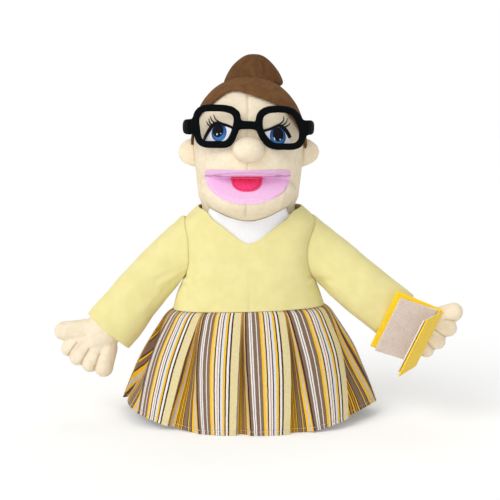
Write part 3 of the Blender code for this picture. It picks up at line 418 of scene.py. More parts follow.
@dataclass(frozen=True)
class StripedFinish:
    """Striped cotton: UV "cloth" runs 0-1 across a panel and from 1 on across the underlay, then down the drop."""

    name: str = "striped_cotton"
    panel: tuple[tuple[Stripe, float], ...] = (
        (Stripe.BARK, 1.2), (Stripe.TAUPE, 2.2), (Stripe.WHITE, 1.3), (Stripe.TAUPE, 0.6), (Stripe.WHITE, 1.2),
        (Stripe.TAUPE, 3.2), (Stripe.WHITE, 0.8), (Stripe.TAUPE, 2.8), (Stripe.GOLD, 1.8), (Stripe.CREAM, 1.5),
        (Stripe.GOLD, 0.5), (Stripe.BARK, 1.1), (Stripe.WHITE, 1.7), (Stripe.TAN, 0.8), (Stripe.WHITE, 1.3),
        (Stripe.BARK, 1.1), (Stripe.SKY, 2.2), (Stripe.GOLD, 2.0), (Stripe.BARK, 1.3), (Stripe.WHITE, 2.0),
        (Stripe.BARK, 1.4), (Stripe.BEIGE, 7.0))
    underlay: tuple[tuple[Stripe, float], ...] = (
        (Stripe.BARK, 1.0), (Stripe.TAUPE, 1.6), (Stripe.GOLD, 2.2), (Stripe.LAVENDER, 2.6), (Stripe.GOLD, 2.0),
        (Stripe.BARK, 0.8), (Stripe.OCHRE, 1.4), (Stripe.BARK, 0.7), (Stripe.GOLD, 1.2), (Stripe.BARK, 0.7),
        (Stripe.OCHRE, 1.2), (Stripe.BARK, 0.7), (Stripe.GOLD, 1.0), (Stripe.BARK, 0.8), (Stripe.TAUPE, 4.6),
        (Stripe.BARK, 0.8), (Stripe.GOLD, 1.0), (Stripe.TAUPE, 2.6), (Stripe.BARK, 0.8), (Stripe.GOLD, 3.0),
        (Stripe.LAVENDER, 2.2), (Stripe.GOLD, 1.8), (Stripe.TAUPE, 1.0))
    threads_per_metre: float = 1500.0
    relief: float = 0.00012

    @staticmethod
    def stops(order: Sequence[tuple[Stripe, float]]) -> list[tuple[float, tuple[float, ...]]]:
        """Ramp stops of an order of stripes with their widths."""
        total = sum(width for _, width in order)
        found, start = [], 0.0
        for yarn, width in order:
            found.append((start / total, yarn.value))
            start += width
        return found

    def build(self) -> bpy.types.Material:
        """Make the material."""
        graph = Graph(self.name)
        u, _ = graph.uv("cloth")
        wander = (graph.noise(160.0, 1.0) - 0.5) * 0.012
        place = u + wander
        ramps = [graph.add("ShaderNodeValToRGB", {"stops": self.stops(order), "interpolation": "CONSTANT"},
                           {"Fac": share})
                 for order, share in ((self.panel, place), (self.underlay, place.fraction()))]
        colour = graph.blend(u.above(1.0), ramps[0], ramps[1])
        _, deep, up = graph.axes()
        turn = math.pi * self.threads_per_metre
        weft = ((up + deep * 0.5) * turn).sine().size()
        grain = graph.noise(900.0, 2.0, (1.0, 1.0, 0.3)).ramp(0.3, 0.7)
        colour = graph.blend((1.0 - weft) * 0.22 + grain * 0.14, colour, graph.blend(1.0, colour, paint(
            176, 160, 150), "MULTIPLY"))
        # painted shade in the pressed hem line
        colour = graph.blend(graph.seam() * 0.6, colour, paint(60, 42, 30))
        return graph.finish(colour, weft * 0.6 + grain * 0.5, self.relief, 0.85, 0.1, 0.5, 0.2)


FINISHES: tuple[Any, ...] = (
    # the last colour of a plush is its painted shade for seams and creases
    PlushFinish("cream_plush", paint(248, 233, 205), paint(238, 218, 184), paint(253, 246, 230),
                paint(176, 132, 92)),
    PlushFinish("brown_plush", paint(118, 80, 46), paint(88, 56, 30), paint(142, 102, 64), paint(40, 24, 12),
                sheen=0.10),
    KnitFinish("yellow_jersey", paint(241, 231, 166), paint(227, 214, 140)),
    StripedFinish(),
    WovenFinish("white_cotton", paint(252, 252, 255), paint(238, 238, 244)),
    WovenFinish("pink_felt", paint(251, 208, 242), paint(240, 186, 229), threads_per_metre=1300.0),
    FeltFinish("hot_pink_felt", paint(252, 58, 124), paint(232, 34, 96), paint(255, 104, 154)),
    WovenFinish("black_cloth", paint(5, 9, 12), paint(2, 4, 6), threads_per_metre=900.0, relief=0.0002,
                roughness=0.9, sheen=0.0, specular=0.08),
    ThreadFinish("blue_thread", paint(8, 98, 184), paint(2, 44, 118), paint(52, 150, 226), rim=0.85, glow=0.6),
    ThreadFinish("black_thread", paint(3, 4, 7), paint(1, 1, 2), paint(40, 42, 50), specular=0.12),
    ThreadFinish("white_thread", paint(252, 252, 255), paint(226, 228, 238), paint(255, 255, 255)),
    # a felt's fourth colour, where given, is the painted highlight of its edges
    FeltFinish("yellow_felt", paint(255, 216, 34), paint(246, 194, 14), paint(255, 230, 96), paint(255, 222, 60)),
    FeltFinish("page_felt", paint(224, 210, 201), paint(208, 188, 168), paint(240, 230, 228), paint(250, 248, 246)),
)
MATERIALS: dict[str, bpy.types.Material] = {}


# Work on meshes

def deselect() -> None:
    """Leave nothing selected."""
    bpy.ops.object.select_all(action="DESELECT")


def pick(thing: Piece) -> None:
    """Select one object and make it active."""
    deselect()
    thing.select_set(True)
    bpy.context.view_layer.objects.active = thing


def add_object(name: str, data: bpy.types.ID) -> Piece:
    """New object of a mesh, curve, lamp or camera."""
    thing = bpy.data.objects.new(name, data)
    bpy.context.collection.objects.link(thing)
    return thing


def apply_all(thing: Piece) -> None:
    """Apply every modifier of an object."""
    pick(thing)
    for modifier in list(thing.modifiers):
        bpy.ops.object.modifier_apply(modifier=modifier.name)


def in_edit_mode(thing: Piece, *steps: Callable[[], Any]) -> None:
    """Run edit-mode steps on all of a mesh."""
    pick(thing)
    bpy.ops.object.mode_set(mode="EDIT")
    bpy.ops.mesh.select_all(action="SELECT")
    for step in steps:
        step()
    bpy.ops.object.mode_set(mode="OBJECT")


def merge_doubles(thing: Piece, distance: float = MERGE) -> None:
    """Merge points that lie on one another."""
    in_edit_mode(thing, lambda: bpy.ops.mesh.remove_doubles(threshold=distance))


def points_of(thing: Piece) -> np.ndarray:
    """Places of a mesh's vertices, one row each."""
    places = np.empty(len(thing.data.vertices) * 3)
    thing.data.vertices.foreach_get("co", places)
    return places.reshape(-1, 3)


def set_points(thing: Piece, places: np.ndarray) -> None:
    """Move a mesh's vertices."""
    thing.data.vertices.foreach_set("co", places.reshape(-1))
    thing.data.update()


def normals_of(thing: Piece) -> np.ndarray:
    """Normals at a mesh's vertices."""
    found = np.empty(len(thing.data.vertices) * 3)
    thing.data.vertex_normals.foreach_get("vector", found)
    return found.reshape(-1, 3)


def tree_of(thing: Piece) -> BVHTree:
    """Search tree of a mesh as it stands."""
    mesh = thing.data
    return BVHTree.FromPolygons([v.co for v in mesh.vertices], [p.vertices[:] for p in mesh.polygons])


def from_node(node: str, name: str) -> Piece:
    """Merged copy of a CAD solid, as a new object.

    Args:
        node: the CAD node.
        name: the new piece's name.

    Returns:
        The new object, with the triangles paired into quads where they can be.
    """
    copy = add_object(name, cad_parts[node].data.copy())
    copy.data.materials.clear()
    in_edit_mode(copy, lambda: bpy.ops.mesh.remove_doubles(threshold=MERGE),
                 lambda: bpy.ops.mesh.tris_convert_to_quads(face_threshold=0.7, shape_threshold=0.9))
    return copy


def relax(thing: Piece, times: int) -> None:
    """Even a mesh out by smoothing it a number of times."""
    step = thing.modifiers.new("relax", "SMOOTH")
    step.factor = 0.5
    step.iterations = times
    apply_all(thing)


def remesh(thing: Piece, voxel: float, smoothing: int = 3) -> None:
    """Rebuild a mesh from even voxels, then relax its steps."""
    step = thing.modifiers.new("voxels", "REMESH")
    step.mode = "VOXEL"
    step.voxel_size = voxel
    apply_all(thing)
    relax(thing, smoothing)


def subdivide(thing: Piece, levels: int = 1) -> None:
    """Smooth subdivision, applied."""
    step = thing.modifiers.new("finer", "SUBSURF")
    step.levels = levels
    step.render_levels = levels
    apply_all(thing)


def inflate(thing: Piece, reach: float, held: np.ndarray | None = None, pressure: float = 4.0) -> None:
    """Blow a closed skin up like a stuffed piece, by a cloth simulation.

    Args:
        thing: a mesh that is already remeshed.
        reach: the most that a point may move.
        held: share from 0 to 1 by which each point is kept where it is.
        pressure: pressure of the stuffing.
    """
    before = points_of(thing)
    cloth = thing.modifiers.new("stuffing", "CLOTH")
    cloth.settings.quality = 5
    cloth.settings.mass = 0.25
    cloth.settings.use_pressure = True
    cloth.settings.uniform_pressure_force = pressure
    cloth.settings.effector_weights.gravity = 0.0
    cloth.collision_settings.use_collision = False
    scene = bpy.context.scene
    for frame in range(1, 21):
        scene.frame_set(frame)
    apply_all(thing)
    scene.frame_set(1)
    moved = points_of(thing) - before
    length = np.linalg.norm(moved, axis=1, keepdims=True)
    moved *= np.minimum(1.0, reach / np.maximum(length, 1e-9))
    if held is not None:
        moved *= 1.0 - held.reshape(-1, 1)
    set_points(thing, before + moved)


def lumps(thing: Piece, size: float, depth: float, seed: float, held: np.ndarray | None = None) -> None:
    """Uneven stuffing: push points along their normals by smooth noise.

    Args:
        thing: the mesh.
        size: distance from lump to lump.
        depth: the most that a point moves.
        seed: which noise it is.
        held: share from 0 to 1 by which each point is kept where it is.
    """
    places, normals = points_of(thing), normals_of(thing)
    shift = Vector((seed * 3.1, seed * 1.7, seed * 5.3))
    push = np.array([noise.noise(Vector(p) / size + shift) for p in places]) * depth
    if held is not None:
        push *= 1.0 - held
    set_points(thing, places + normals * push[:, None])


def distance_to(places: np.ndarray, line: Sequence[Sequence[float]]) -> np.ndarray:
    """Distance from each place to a line of points."""
    line = np.array([tuple(point) for point in line], float)
    best = np.full(len(places), 1e9)
    for start, end in zip(line, line[1:]):
        along = end - start
        share = np.clip(((places - start) @ along) / max(float(along @ along), 1e-12), 0.0, 1.0)
        best = np.minimum(best, np.linalg.norm(places - start - share[:, None] * along, axis=1))
    return best


def snap_to(thing: Piece, tree: BVHTree, share: np.ndarray) -> None:
    """Draw points back to another skin by a share from 0 to 1."""
    places = points_of(thing)
    for index in np.flatnonzero(share > 0.01):
        nearest = np.array(tree.find_nearest(Vector(places[index]))[0])
        places[index] += (nearest - places[index]) * share[index]
    set_points(thing, places)


def put_mark(thing: Piece, name: str, values: np.ndarray) -> None:
    """Raise a point attribute to new values where they are higher."""
    mesh = thing.data
    mark = mesh.attributes.get(name) or mesh.attributes.new(name, "FLOAT", "POINT")
    old = np.zeros(len(mesh.vertices))
    mark.data.foreach_get("value", old)
    mark.data.foreach_set("value", np.maximum(old, values))


def paint_contact_shade(thing: Piece, other: BVHTree, width: float, darkness: float) -> None:
    """Paint shade on a skin where another skin comes out of it, as along a sewn joint."""
    found = np.zeros(len(thing.data.vertices))
    for index, vertex in enumerate(thing.data.vertices):
        near = other.find_nearest(vertex.co, width * 2.5)
        if near[0] is not None:
            found[index] = darkness * math.exp(-(near[3] / width) ** 2)
    put_mark(thing, SEAM_AND_SHADE, found)


def ball_copies(name: str, segments: int, rings: int, copies: Iterable[tuple[np.ndarray, Sequence[float]]]) -> Piece:
    """One mesh of many stretched and turned balls.

    Args:
        name: the object's name.
        segments: sides of a ball round its axis.
        rings: rings of a ball from pole to pole.
        copies: for each ball the matrix that shapes it and its middle.

    Returns:
        The new object.
    """
    bpy.ops.mesh.primitive_uv_sphere_add(segments=segments, ring_count=rings, radius=1.0)
    one = bpy.context.object
    shape, faces = points_of(one), [tuple(p.vertices) for p in one.data.polygons]
    bpy.data.objects.remove(one, do_unlink=True)
    verts, polys = [], []
    for turn, middle in copies:
        base = len(verts)
        verts.extend(tuple(p) for p in shape @ turn + np.array(middle))
        polys.extend(tuple(base + k for k in face) for face in faces)
    mesh = bpy.data.meshes.new(name)
    mesh.from_pydata(verts, [], polys)
    return add_object(name, mesh)


def rounded_chains(name: str, chains: Sequence[Sequence[Sequence[float]]], voxel: float) -> Piece:
    """One skin round chains of balls, as in a stuffed hand.

    Args:
        name: the object's name.
        chains: balls in a row as (x, y, z, radius, half thickness), in millimetres.
        voxel: size of the voxels that melt them together.

    Returns:
        The new object.
    """
    copies = []
    for chain in chains:
        for start, end in zip(chain, chain[1:]):
            for k in range(9):
                x, y, z, radius, half = (mix(a, b, k / 8) * MILLIMETRE for a, b in zip(start, end))
                copies.append((np.diag([radius, half, radius]), (x, y, z)))
    thing = ball_copies(name, 24, 14, copies)
    remesh(thing, voxel, 4)
    return thing


def press_seam(thing: Piece, line: Sequence[Sequence[float]], width: float, depth: float,
               darkness: float = 1.0, pucker: float = 0.0) -> None:
    """Press a sewn line or crease into a skin, and mark its groove in the attribute of seams and painted shade.

    Args:
        thing: the mesh.
        line: points of the seam on the skin.
        width: half width of the groove.
        depth: its depth.
        darkness: how much painted shade the groove gets.
        pucker: depth of the small gathers beside the thread.
    """
    places, normals = points_of(thing), normals_of(thing)
    away = distance_to(places, line)
    groove = np.exp(-(away / width) ** 2)
    push = -depth * groove
    if pucker:
        wave = np.sin(places @ np.array([1150.0, 900.0, 1400.0]))
        push += pucker * wave * np.exp(-((away - width * 1.6) / (width * 1.2)) ** 2)
    set_points(thing, places + normals * push[:, None])
    # painted shade in the groove
    put_mark(thing, SEAM_AND_SHADE, darkness * np.exp(-(away / (width * 0.55)) ** 2))


def front_line(tree: BVHTree, marks: Iterable[Sequence[float]]) -> list[Vector]:
    """Points on a skin straight behind marks (across, up) in front of it."""
    found = []
    for across, up in marks:
        hit = tree.ray_cast(Vector((across, IN_FRONT, up)), BACKWARDS)[0]
        if hit is not None:
            found.append(hit)
    return found


def curve_through(marks: Sequence[Sequence[float]], count: int) -> list[Vector]:
    """Smooth curve through marks of any dimension, with a number of even steps in each span."""
    points = [Vector(mark) for mark in marks]
    last = len(points) - 1
    found = []
    for i in range(last):
        a, b, c, d = (points[min(max(i + k, 0), last)] for k in (-1, 0, 1, 2))
        for k in range(count):
            s = k / count
            found.append(0.5 * ((2 * b) + (c - a) * s + (2 * a - 5 * b + 4 * c - d) * s**2
                                + (3 * b - a - 3 * c + d) * s**3))
    return [*found, points[-1]]


def resample(line: Sequence[Vector], count: int) -> list[Vector]:
    """Evenly spaced points along a line."""
    steps = [0.0]
    for a, b in zip(line, line[1:]):
        steps.append(steps[-1] + (b - a).length)
    found = []
    for i in range(count):
        target = steps[-1] * i / (count - 1)
        k = min(max(int(np.searchsorted(steps, target)), 1), len(line) - 1)
        span = max(steps[k] - steps[k - 1], 1e-12)
        found.append(line[k - 1].lerp(line[k], (target - steps[k - 1]) / span))
    return found


def grid_piece(name: str, rows: Sequence[Sequence[Vector]], wrap: bool = False,
               uv: tuple[str, Sequence[Sequence[tuple[float, float]]], Sequence[float]] | None = None
               ) -> Piece:
    """Sheet of quads through rows of points.

    Args:
        name: the object's name.
        rows: rows of equal length.
        wrap: whether each row closes on itself.
        uv: name of the UV map, for each row its values at the start and end of each face, and the rows' own.

    Returns:
        The new object.
    """
    width = len(rows[0])
    bpy.ops.mesh.primitive_grid_add(x_subdivisions=width - 1, y_subdivisions=len(rows) - 1, size=1.0)
    sheet = bpy.context.object
    sheet.name = name
    mesh = sheet.data
    mesh.name = name
    order = sorted(range(len(mesh.vertices)), key=lambda i: (round(mesh.vertices[i].co.y, 6), mesh.vertices[i].co.x))
    rank = {index: place for place, index in enumerate(order)}
    if uv:
        layer = mesh.uv_layers[0]
        layer.name = uv[0]
        for polygon in mesh.polygons:
            first = min(rank[i] % width for i in polygon.vertices)
            for loop in polygon.loop_indices:
                row, column = divmod(rank[mesh.loops[loop].vertex_index], width)
                layer.data[loop].uv = (uv[1][row][first][column - first], uv[2][row])
    places = np.empty((len(order), 3))
    flat = [point for row in rows for point in row]
    for index, point in zip(order, flat):
        places[index] = point
    set_points(sheet, places)
    if wrap:
        merge_doubles(sheet, MERGE / 2.0)
    return sheet


def thicken(sheet: Piece, wall: float, offset: float = -1.0) -> None:
    """Give a sheet its wall, on its inner side unless the offset says otherwise."""
    step = sheet.modifiers.new("wall", "SOLIDIFY")
    step.thickness = wall
    step.offset = offset
    apply_all(sheet)


def dress(piece: Piece, finish: str, body: str = PUPPET, replaces: Sequence[str] = (),
          sharp_deg: float | None = None) -> Piece:
    """Shade a finished piece, give it its material and slot, and let it ride on its body.

    Args:
        piece: the finished mesh.
        finish: name of the finish, which is also its slot.
        body: CAD body that it moves with.
        replaces: CAD nodes that it stands for.
        sharp_deg: angle past which edges stay sharp.

    Returns:
        The piece.
    """
    pick(piece)
    if sharp_deg is None:
        bpy.ops.object.shade_smooth()
    else:
        bpy.ops.object.shade_smooth_by_angle(angle=math.radians(sharp_deg))
    piece.data.materials.clear()
    piece.data.materials.append(MATERIALS[finish])
    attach(piece, body)
    if replaces:
        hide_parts(*replaces)
    LOG.info("%s: %d faces, %s", piece.name, len(piece.data.polygons), finish)
    return piece


def stitch_row(name: str, line: Sequence[Vector], outward: Sequence[Vector], pitch: float, length: float,
               radius: float) -> Piece:
    """Row of short raised stitches along a line, as one mesh.

    Args:
        name: the piece's name.
        line: evenly spaced points on the cloth.
        outward: direction away from the cloth at each point.
        pitch: distance from stitch to stitch.
        length: length of one stitch.
        radius: radius of the thread.

    Returns:
        The new object.
    """
    total = sum((b - a).length for a, b in zip(line, line[1:]))
    count = max(int(total / pitch), 2)
    places, ups = resample(line, count * 2 + 1), resample(outward, count * 2 + 1)
    copies = []
    for i in range(count):
        middle, along = places[2 * i + 1], (places[2 * i + 2] - places[2 * i]).normalized()
        up = ups[2 * i + 1].normalized()
        side = along.cross(up).normalized()
        copies.append((np.array(Matrix((along * length / 2.0, side * radius, up * radius))), middle))
    return ball_copies(name, 6, 4, copies)


# Body

WAIST_Z, WAIST_TILT = 0.1085, 0.030
V_POINT_Z, COLLAR_Z = 0.1714, 0.2105
TOP_PROFILE = (       # height, half width, half depth and squareness of the jersey top
    (0.1085, 0.0760, 0.0440, 2.35), (0.1230, 0.0715, 0.0440, 2.5), (0.1380, 0.0655, 0.0440, 2.9),
    (0.1530, 0.0610, 0.0430, 3.5), (0.1790, 0.0625, 0.0405, 3.9), (0.1910, 0.0645, 0.0385, 3.8),
    (0.1975, 0.0640, 0.0370, 3.5), (0.2025, 0.0597, 0.0358, 3.1), (0.2065, 0.0552, 0.0350, 2.8),
    (0.2105, 0.0508, 0.0340, 2.5))
SHOULDER_SHIFT = 0.0015


def between(value: float, table: Sequence[Sequence[float]]) -> tuple[float, ...]:
    """Smooth value from a table of (position, value...) rows."""
    if value <= table[0][0]:
        return tuple(table[0][1:])
    if value >= table[-1][0]:
        return tuple(table[-1][1:])
    index = next(i for i in range(len(table) - 1) if table[i][0] <= value <= table[i + 1][0])
    here, there = table[index], table[index + 1]
    before, after = table[max(index - 1, 0)], table[min(index + 2, len(table) - 1)]
    span = there[0] - here[0]
    s = (value - here[0]) / span
    found = []
    for column in range(1, len(here)):
        slope_in = (there[column] - before[column]) / (there[0] - before[0]) * span
        slope_out = (after[column] - here[column]) / (after[0] - here[0]) * span
        found.append((2 * s**3 - 3 * s**2 + 1) * here[column] + (s**3 - 2 * s**2 + s) * slope_in
                     + (3 * s**2 - 2 * s**3) * there[column] + (s**3 - s**2) * slope_out)
    return tuple(found)


def mix(low: float, high: float, share: float) -> float:
    """Value at a share of the way from low to high."""
    return low + (high - low) * share


def ease(share: Any) -> Any:
    """Shares from 0 to 1, one or many, that start and end gently."""
    share = np.clip(share, 0.0, 1.0)
    return share * share * (3.0 - 2.0 * share)


@dataclass
class Bodice:
    """Yellow jersey top, sewn to the skirt at the waist, with a V neck."""

    wall: float = 0.0015
    columns: int = 180
    rows: int = 44
    neck_slope: float = 0.7531
    point_x: float = 0.0010
    armpit: tuple[float, float, float] = (0.064, -0.012, 0.136)

    def point(self, angle: float, z: float) -> Vector:
        """Point of the top's outer side at an angle from the front and a height."""
        half_width, half_depth, power = between(z, TOP_PROFILE)
        sine, cosine = math.sin(angle), math.cos(angle)
        shift = SHOULDER_SHIFT * ease((z - 0.165) / 0.030)
        return Vector((math.copysign(abs(sine) ** (2.0 / power), sine) * half_width + shift,
                       -math.copysign(abs(cosine) ** (2.0 / power), cosine) * half_depth, z))

    def top_edge(self, angle: float) -> float:
        """Height of the neck's edge at an angle."""
        top = COLLAR_Z
        if math.cos(angle) > 0.0:
            for _ in range(10):
                top = min(COLLAR_Z, V_POINT_Z + abs(self.point(angle, top).x - self.point_x) * self.neck_slope)
        return top

    def build(self) -> Piece:
        """Make the top, and give it back for the sleeves."""
        angles = [math.pi * (2.0 * i / self.columns - 1.0) for i in range(self.columns + 1)]
        tops = [self.top_edge(angle) for angle in angles]
        rows = []
        for r in range(self.rows + 1):
            share = r / self.rows
            row = []
            for angle, top in zip(angles, tops):
                point = self.point(angle, mix(WAIST_Z, top, share))
                point.z += WAIST_TILT * point.x * (1.0 - share) ** 2
                row.append(point)
            rows.append(row)
        top = grid_piece("jersey_top", rows, wrap=True)
        self.crumple(top)
        thicken(top, self.wall)
        subdivide(top)
        self.sew(top)
        dress(top, "yellow_jersey", replaces=("bodice",))
        return top

    def crumple(self, top: Piece) -> None:
        """Drag folds that run from each armpit towards the middle, and soft unevenness."""
        places, normals = points_of(top), normals_of(top)
        push = np.zeros(len(places))
        for side in (-1.0, 1.0):
            root = np.array([side * self.armpit[0], self.armpit[1], self.armpit[2]])
            for lean, reach, depth in ((0.30, 0.030, 0.0010), (-0.15, 0.026, 0.0008), (-0.62, 0.022, 0.0007)):
                along = np.array([-side * math.cos(lean), 0.0, math.sin(lean)])
                offset = (places - root) * np.array([1.0, 0.0, 1.0])
                run = offset @ along
                away = np.linalg.norm(offset - run[:, None] * along, axis=1)
                fade = np.clip(1.0 - run / reach, 0.0, 1.0) * np.clip(run / 0.004 + 0.6, 0.0, 1.0)
                push += np.where(places[:, 1] < 0.0, fade * depth * np.cos(np.clip(away / 0.0045, 0.0, 1.5)
                                                                           * math.pi), 0.0)
        edge = np.clip((places[:, 2] - WAIST_Z) / 0.010, 0.0, 1.0)
        set_points(top, places + normals * (push * edge)[:, None])
        lumps(top, 0.022, 0.0006, 3.0)

    def sew(self, top: Piece) -> None:
        """Seam down the front's middle, with painted shade in its groove."""
        tree = tree_of(top)
        press_seam(top, front_line(tree, [(mix(0.0004, 0.0012, k / 8), mix(0.111, V_POINT_Z - 0.001, k / 8))
                                          for k in range(9)]), 0.0012, 0.0003, 0.20)


@dataclass
class Skirt:
    """Striped cotton skirt: knife pleats that open towards a turned hem."""

    wall: float = 0.0012
    waist_half: tuple[float, float] = (0.0760, 0.0440)
    hem_half: tuple[float, float] = (0.1290, 0.0950)
    flare: Points3 = (
        (0.00, 0.0000, 0.0000), (0.03, 0.0900, 0.0500), (0.11, 0.2075, 0.1765), (0.40, 0.5377, 0.5098),
        (0.70, 0.7830, 0.7745), (1.00, 1.0000, 1.0000))
    pleats: int = 10
    waist_edges: tuple[float, ...] = (-71.3, -33.1, -2.6, 28.3, 71.3)
    hem_panels: Points2 = ((-56.2, -36.7), (-21.1, -5.2), (1.0, 17.5), (28.9, 48.1))
    side_underlays: tuple[float, float] = (36.0, 38.0)    # at the hem, right and left of the front, in degrees
    back_panel_deg: float = 17.5
    waist_underlay_deg: float = 2.4
    waist_side_deg: float = 15.0
    side_slant: tuple[float, float] = (0.25, 0.80)        # how the side underlays' stripes run off the pleat
    pleat_depth: float = 0.0112
    tuck_deg: float = 0.9
    hem_lift: float = 0.013
    hem_flat_half: float = 0.045
    drops: int = 56
    stitch_drop: float = 0.968

    def edges(self) -> list[tuple[tuple[float, float, float], tuple[float, float, float]]]:
        """For each pleat: panel start, panel end and next start, at the waist and at the hem, in degrees."""
        front = len(self.hem_panels)
        back = self.pleats - front
        pitch = (360.0 - (self.waist_edges[-1] - self.waist_edges[0])) / back
        waist = list(self.waist_edges) + [self.waist_edges[-1] + pitch * (i + 1) for i in range(back)]
        hem = list(self.hem_panels)
        gap = 360.0 - (self.hem_panels[-1][1] - self.hem_panels[0][0]) - sum(self.side_underlays)
        underlay = (gap - self.back_panel_deg * back) / (back - 1)
        start = self.hem_panels[-1][1] + self.side_underlays[0]
        for _ in range(back):
            hem.append((start, start + self.back_panel_deg))
            start += self.back_panel_deg + underlay
        found = []
        for i in range(self.pleats):
            following = hem[i + 1][0] if i + 1 < self.pleats else hem[0][0] + 360.0
            tuck = self.waist_side_deg if i in (front - 1, self.pleats - 1) else self.waist_underlay_deg
            end = waist[i + 1] - self.waist_underlay_deg if i == front - 1 else waist[i + 1] - tuck
            found.append(((waist[i], end, end + tuck), (*hem[i], following)))
        return [((a[0] if i != front else found[i - 1][0][2], *a[1:]), b) for i, (a, b) in enumerate(found)]

    def columns(self, drop: float) -> list[tuple[float, float, float, float]]:
        """Columns of the cloth at a share of the drop: angle, recess, and cloth place before and after it."""
        found: list[tuple[float, float, float, float]] = []
        slants = {len(self.hem_panels) - 1: -self.side_slant[0], self.pleats - 1: self.side_slant[1]}
        for index, (waist, hem) in enumerate(self.edges()):
            slant = slants.get(index, 0.0) * (1.0 - drop)
            start, end, following = (mix(a, b, drop) for a, b in zip(waist, hem))
            before = 2.998 - slants.get(index - 1 if index else self.pleats - 1, 0.0) * (1.0 - drop)
            for k in range(15):
                share = k / 14
                u = 0.002 + 0.996 * share
                found.append((mix(start, end, share), -0.07 * math.sin(math.pi * share), before if k == 0 else u, u))
            tuck = self.tuck_deg * drop
            for shift, recess, u in ((0.30, 0.14, 2.01), (0.15, 0.38, 2.04), (-0.75, 0.72, 2.08), (-0.55, 0.93, 2.12)):
                found.append((end + tuck * shift, recess, u - slant, u - slant))
            for share, recess in ((0.03, 1.0), (0.14, 1.0), (0.28, 0.97), (0.42, 0.91), (0.55, 0.81), (0.67, 0.68),
                                  (0.78, 0.52), (0.88, 0.32), (0.95, 0.13)):
                u = 2.14 + 0.85 * share - slant
                found.append((mix(end, following, share), recess, u, u))
        first = found[0]
        found.append((first[0] + 360.0, first[1], first[2], first[3]))
        return found

    def place(self, angle_deg: float, recess: float, drop: float) -> Vector:
        """Point of the cloth's outer side."""
        across, deep = between(drop, self.flare)
        half_width = mix(self.waist_half[0], self.hem_half[0], across)
        half_depth = mix(self.waist_half[1], self.hem_half[1], deep)
        angle = math.radians(angle_deg)
        sine, cosine = math.sin(angle), math.cos(angle)
        outward = Vector((sine / half_width, -cosine / half_depth, 0.0)).normalized()
        spot = Vector((half_width * sine, -half_depth * cosine, 0.0))
        deep = (0.06 + 0.94 * ease(drop / 0.45)) * (1.0 - 0.42 * ease((drop - 0.55) / 0.45))
        spot -= outward * (recess * self.pleat_depth * deep)
        lift = self.hem_lift * ease((abs(spot.x) - self.hem_flat_half)
                                           / (self.hem_half[0] - self.hem_flat_half))
        spot.z = mix(WAIST_Z + WAIST_TILT * spot.x - 0.00015, lift, drop)
        return spot

    def build(self) -> None:
        """Make the skirt and the stitches of its hem."""
        shares = [1.0 - r / self.drops for r in range(self.drops + 1)]
        table = [self.columns(drop) for drop in shares]
        rows = [[self.place(angle, recess, drop) for angle, recess, _, _ in line]
                for drop, line in zip(shares, table)]
        pairs = [[(a[3], b[2]) for a, b in zip(line, line[1:])] for line in table]
        skirt = grid_piece("pleated_skirt", rows, wrap=True, uv=("cloth", pairs, [1.0 - s for s in shares]))
        lumps(skirt, 0.020, 0.0005, 7.0, held=np.clip((points_of(skirt)[:, 2] - 0.097) / 0.008, 0.0, 1.0))
        places = points_of(skirt)
        places[:, 2] = np.maximum(places[:, 2], 0.0002)
        set_points(skirt, places)
        stitches = self.hem_stitches(tree_of(skirt))
        thicken(skirt, self.wall)
        self.press_hem(skirt)
        dress(skirt, "striped_cotton", replaces=("skirt",), sharp_deg=50.0)

    def hem_line(self, tree: BVHTree) -> list[Vector]:
        """Points of the hem's stitch line on the cloth."""
        return [tree.find_nearest(self.place(angle, recess, self.stitch_drop))[0]
                for angle, recess, _, _ in self.columns(self.stitch_drop)]

    def hem_stitches(self, tree: BVHTree) -> Piece:
        """Pale topstitches round the hem."""
        dense = resample(self.hem_line(tree), 900)
        ups = [tree.find_nearest(point)[1] for point in dense]
        lifted = [point + up * 0.00012 for point, up in zip(dense, ups)]
        row = stitch_row("hem_stitches", lifted, ups, 0.0029, 0.0021, 0.00022)
        return dress(row, "white_thread")

    def press_hem(self, skirt: Piece) -> None:
        """Line pressed into the cloth by the hem's stitches, with painted shade in it."""
        press_seam(skirt, resample(self.hem_line(tree_of(skirt)), 400), 0.0011, 0.0003, 0.25)


# Head

MOUTH_CREASE = (-0.0360, 0.2392)
PALATE_RISE, MOUTH_DROP = math.radians(11.0), math.radians(39.0)


def near_gape(places: np.ndarray, reach: float) -> np.ndarray:
    """1 on the two planes of the open mouth, falling to 0 at a distance."""
    y, z = places[:, 1] - MOUTH_CREASE[0], places[:, 2] - MOUTH_CREASE[1]
    above = y * math.sin(PALATE_RISE) + z * math.cos(PALATE_RISE)
    below = -y * math.sin(MOUTH_DROP) + z * math.cos(MOUTH_DROP)
    away = np.where(above > 0.0, above, np.where(below < 0.0, -below, 0.0))
    inside = np.clip((0.004 - y) / 0.004, 0.0, 1.0)
    return np.clip(1.6 - 1.6 * away / reach, 0.0, 1.0) * inside


def faces_itself(thing: Piece, reach: float = 0.080) -> np.ndarray:
    """1 at points that look at another part of the same skin, as inside a pocket."""
    tree = tree_of(thing)
    places, normals = points_of(thing), normals_of(thing)
    return np.array([1.0 if tree.ray_cast(Vector(p + n * 0.0008), Vector(n), reach)[0] is not None else 0.0
                     for p, n in zip(places, normals)])


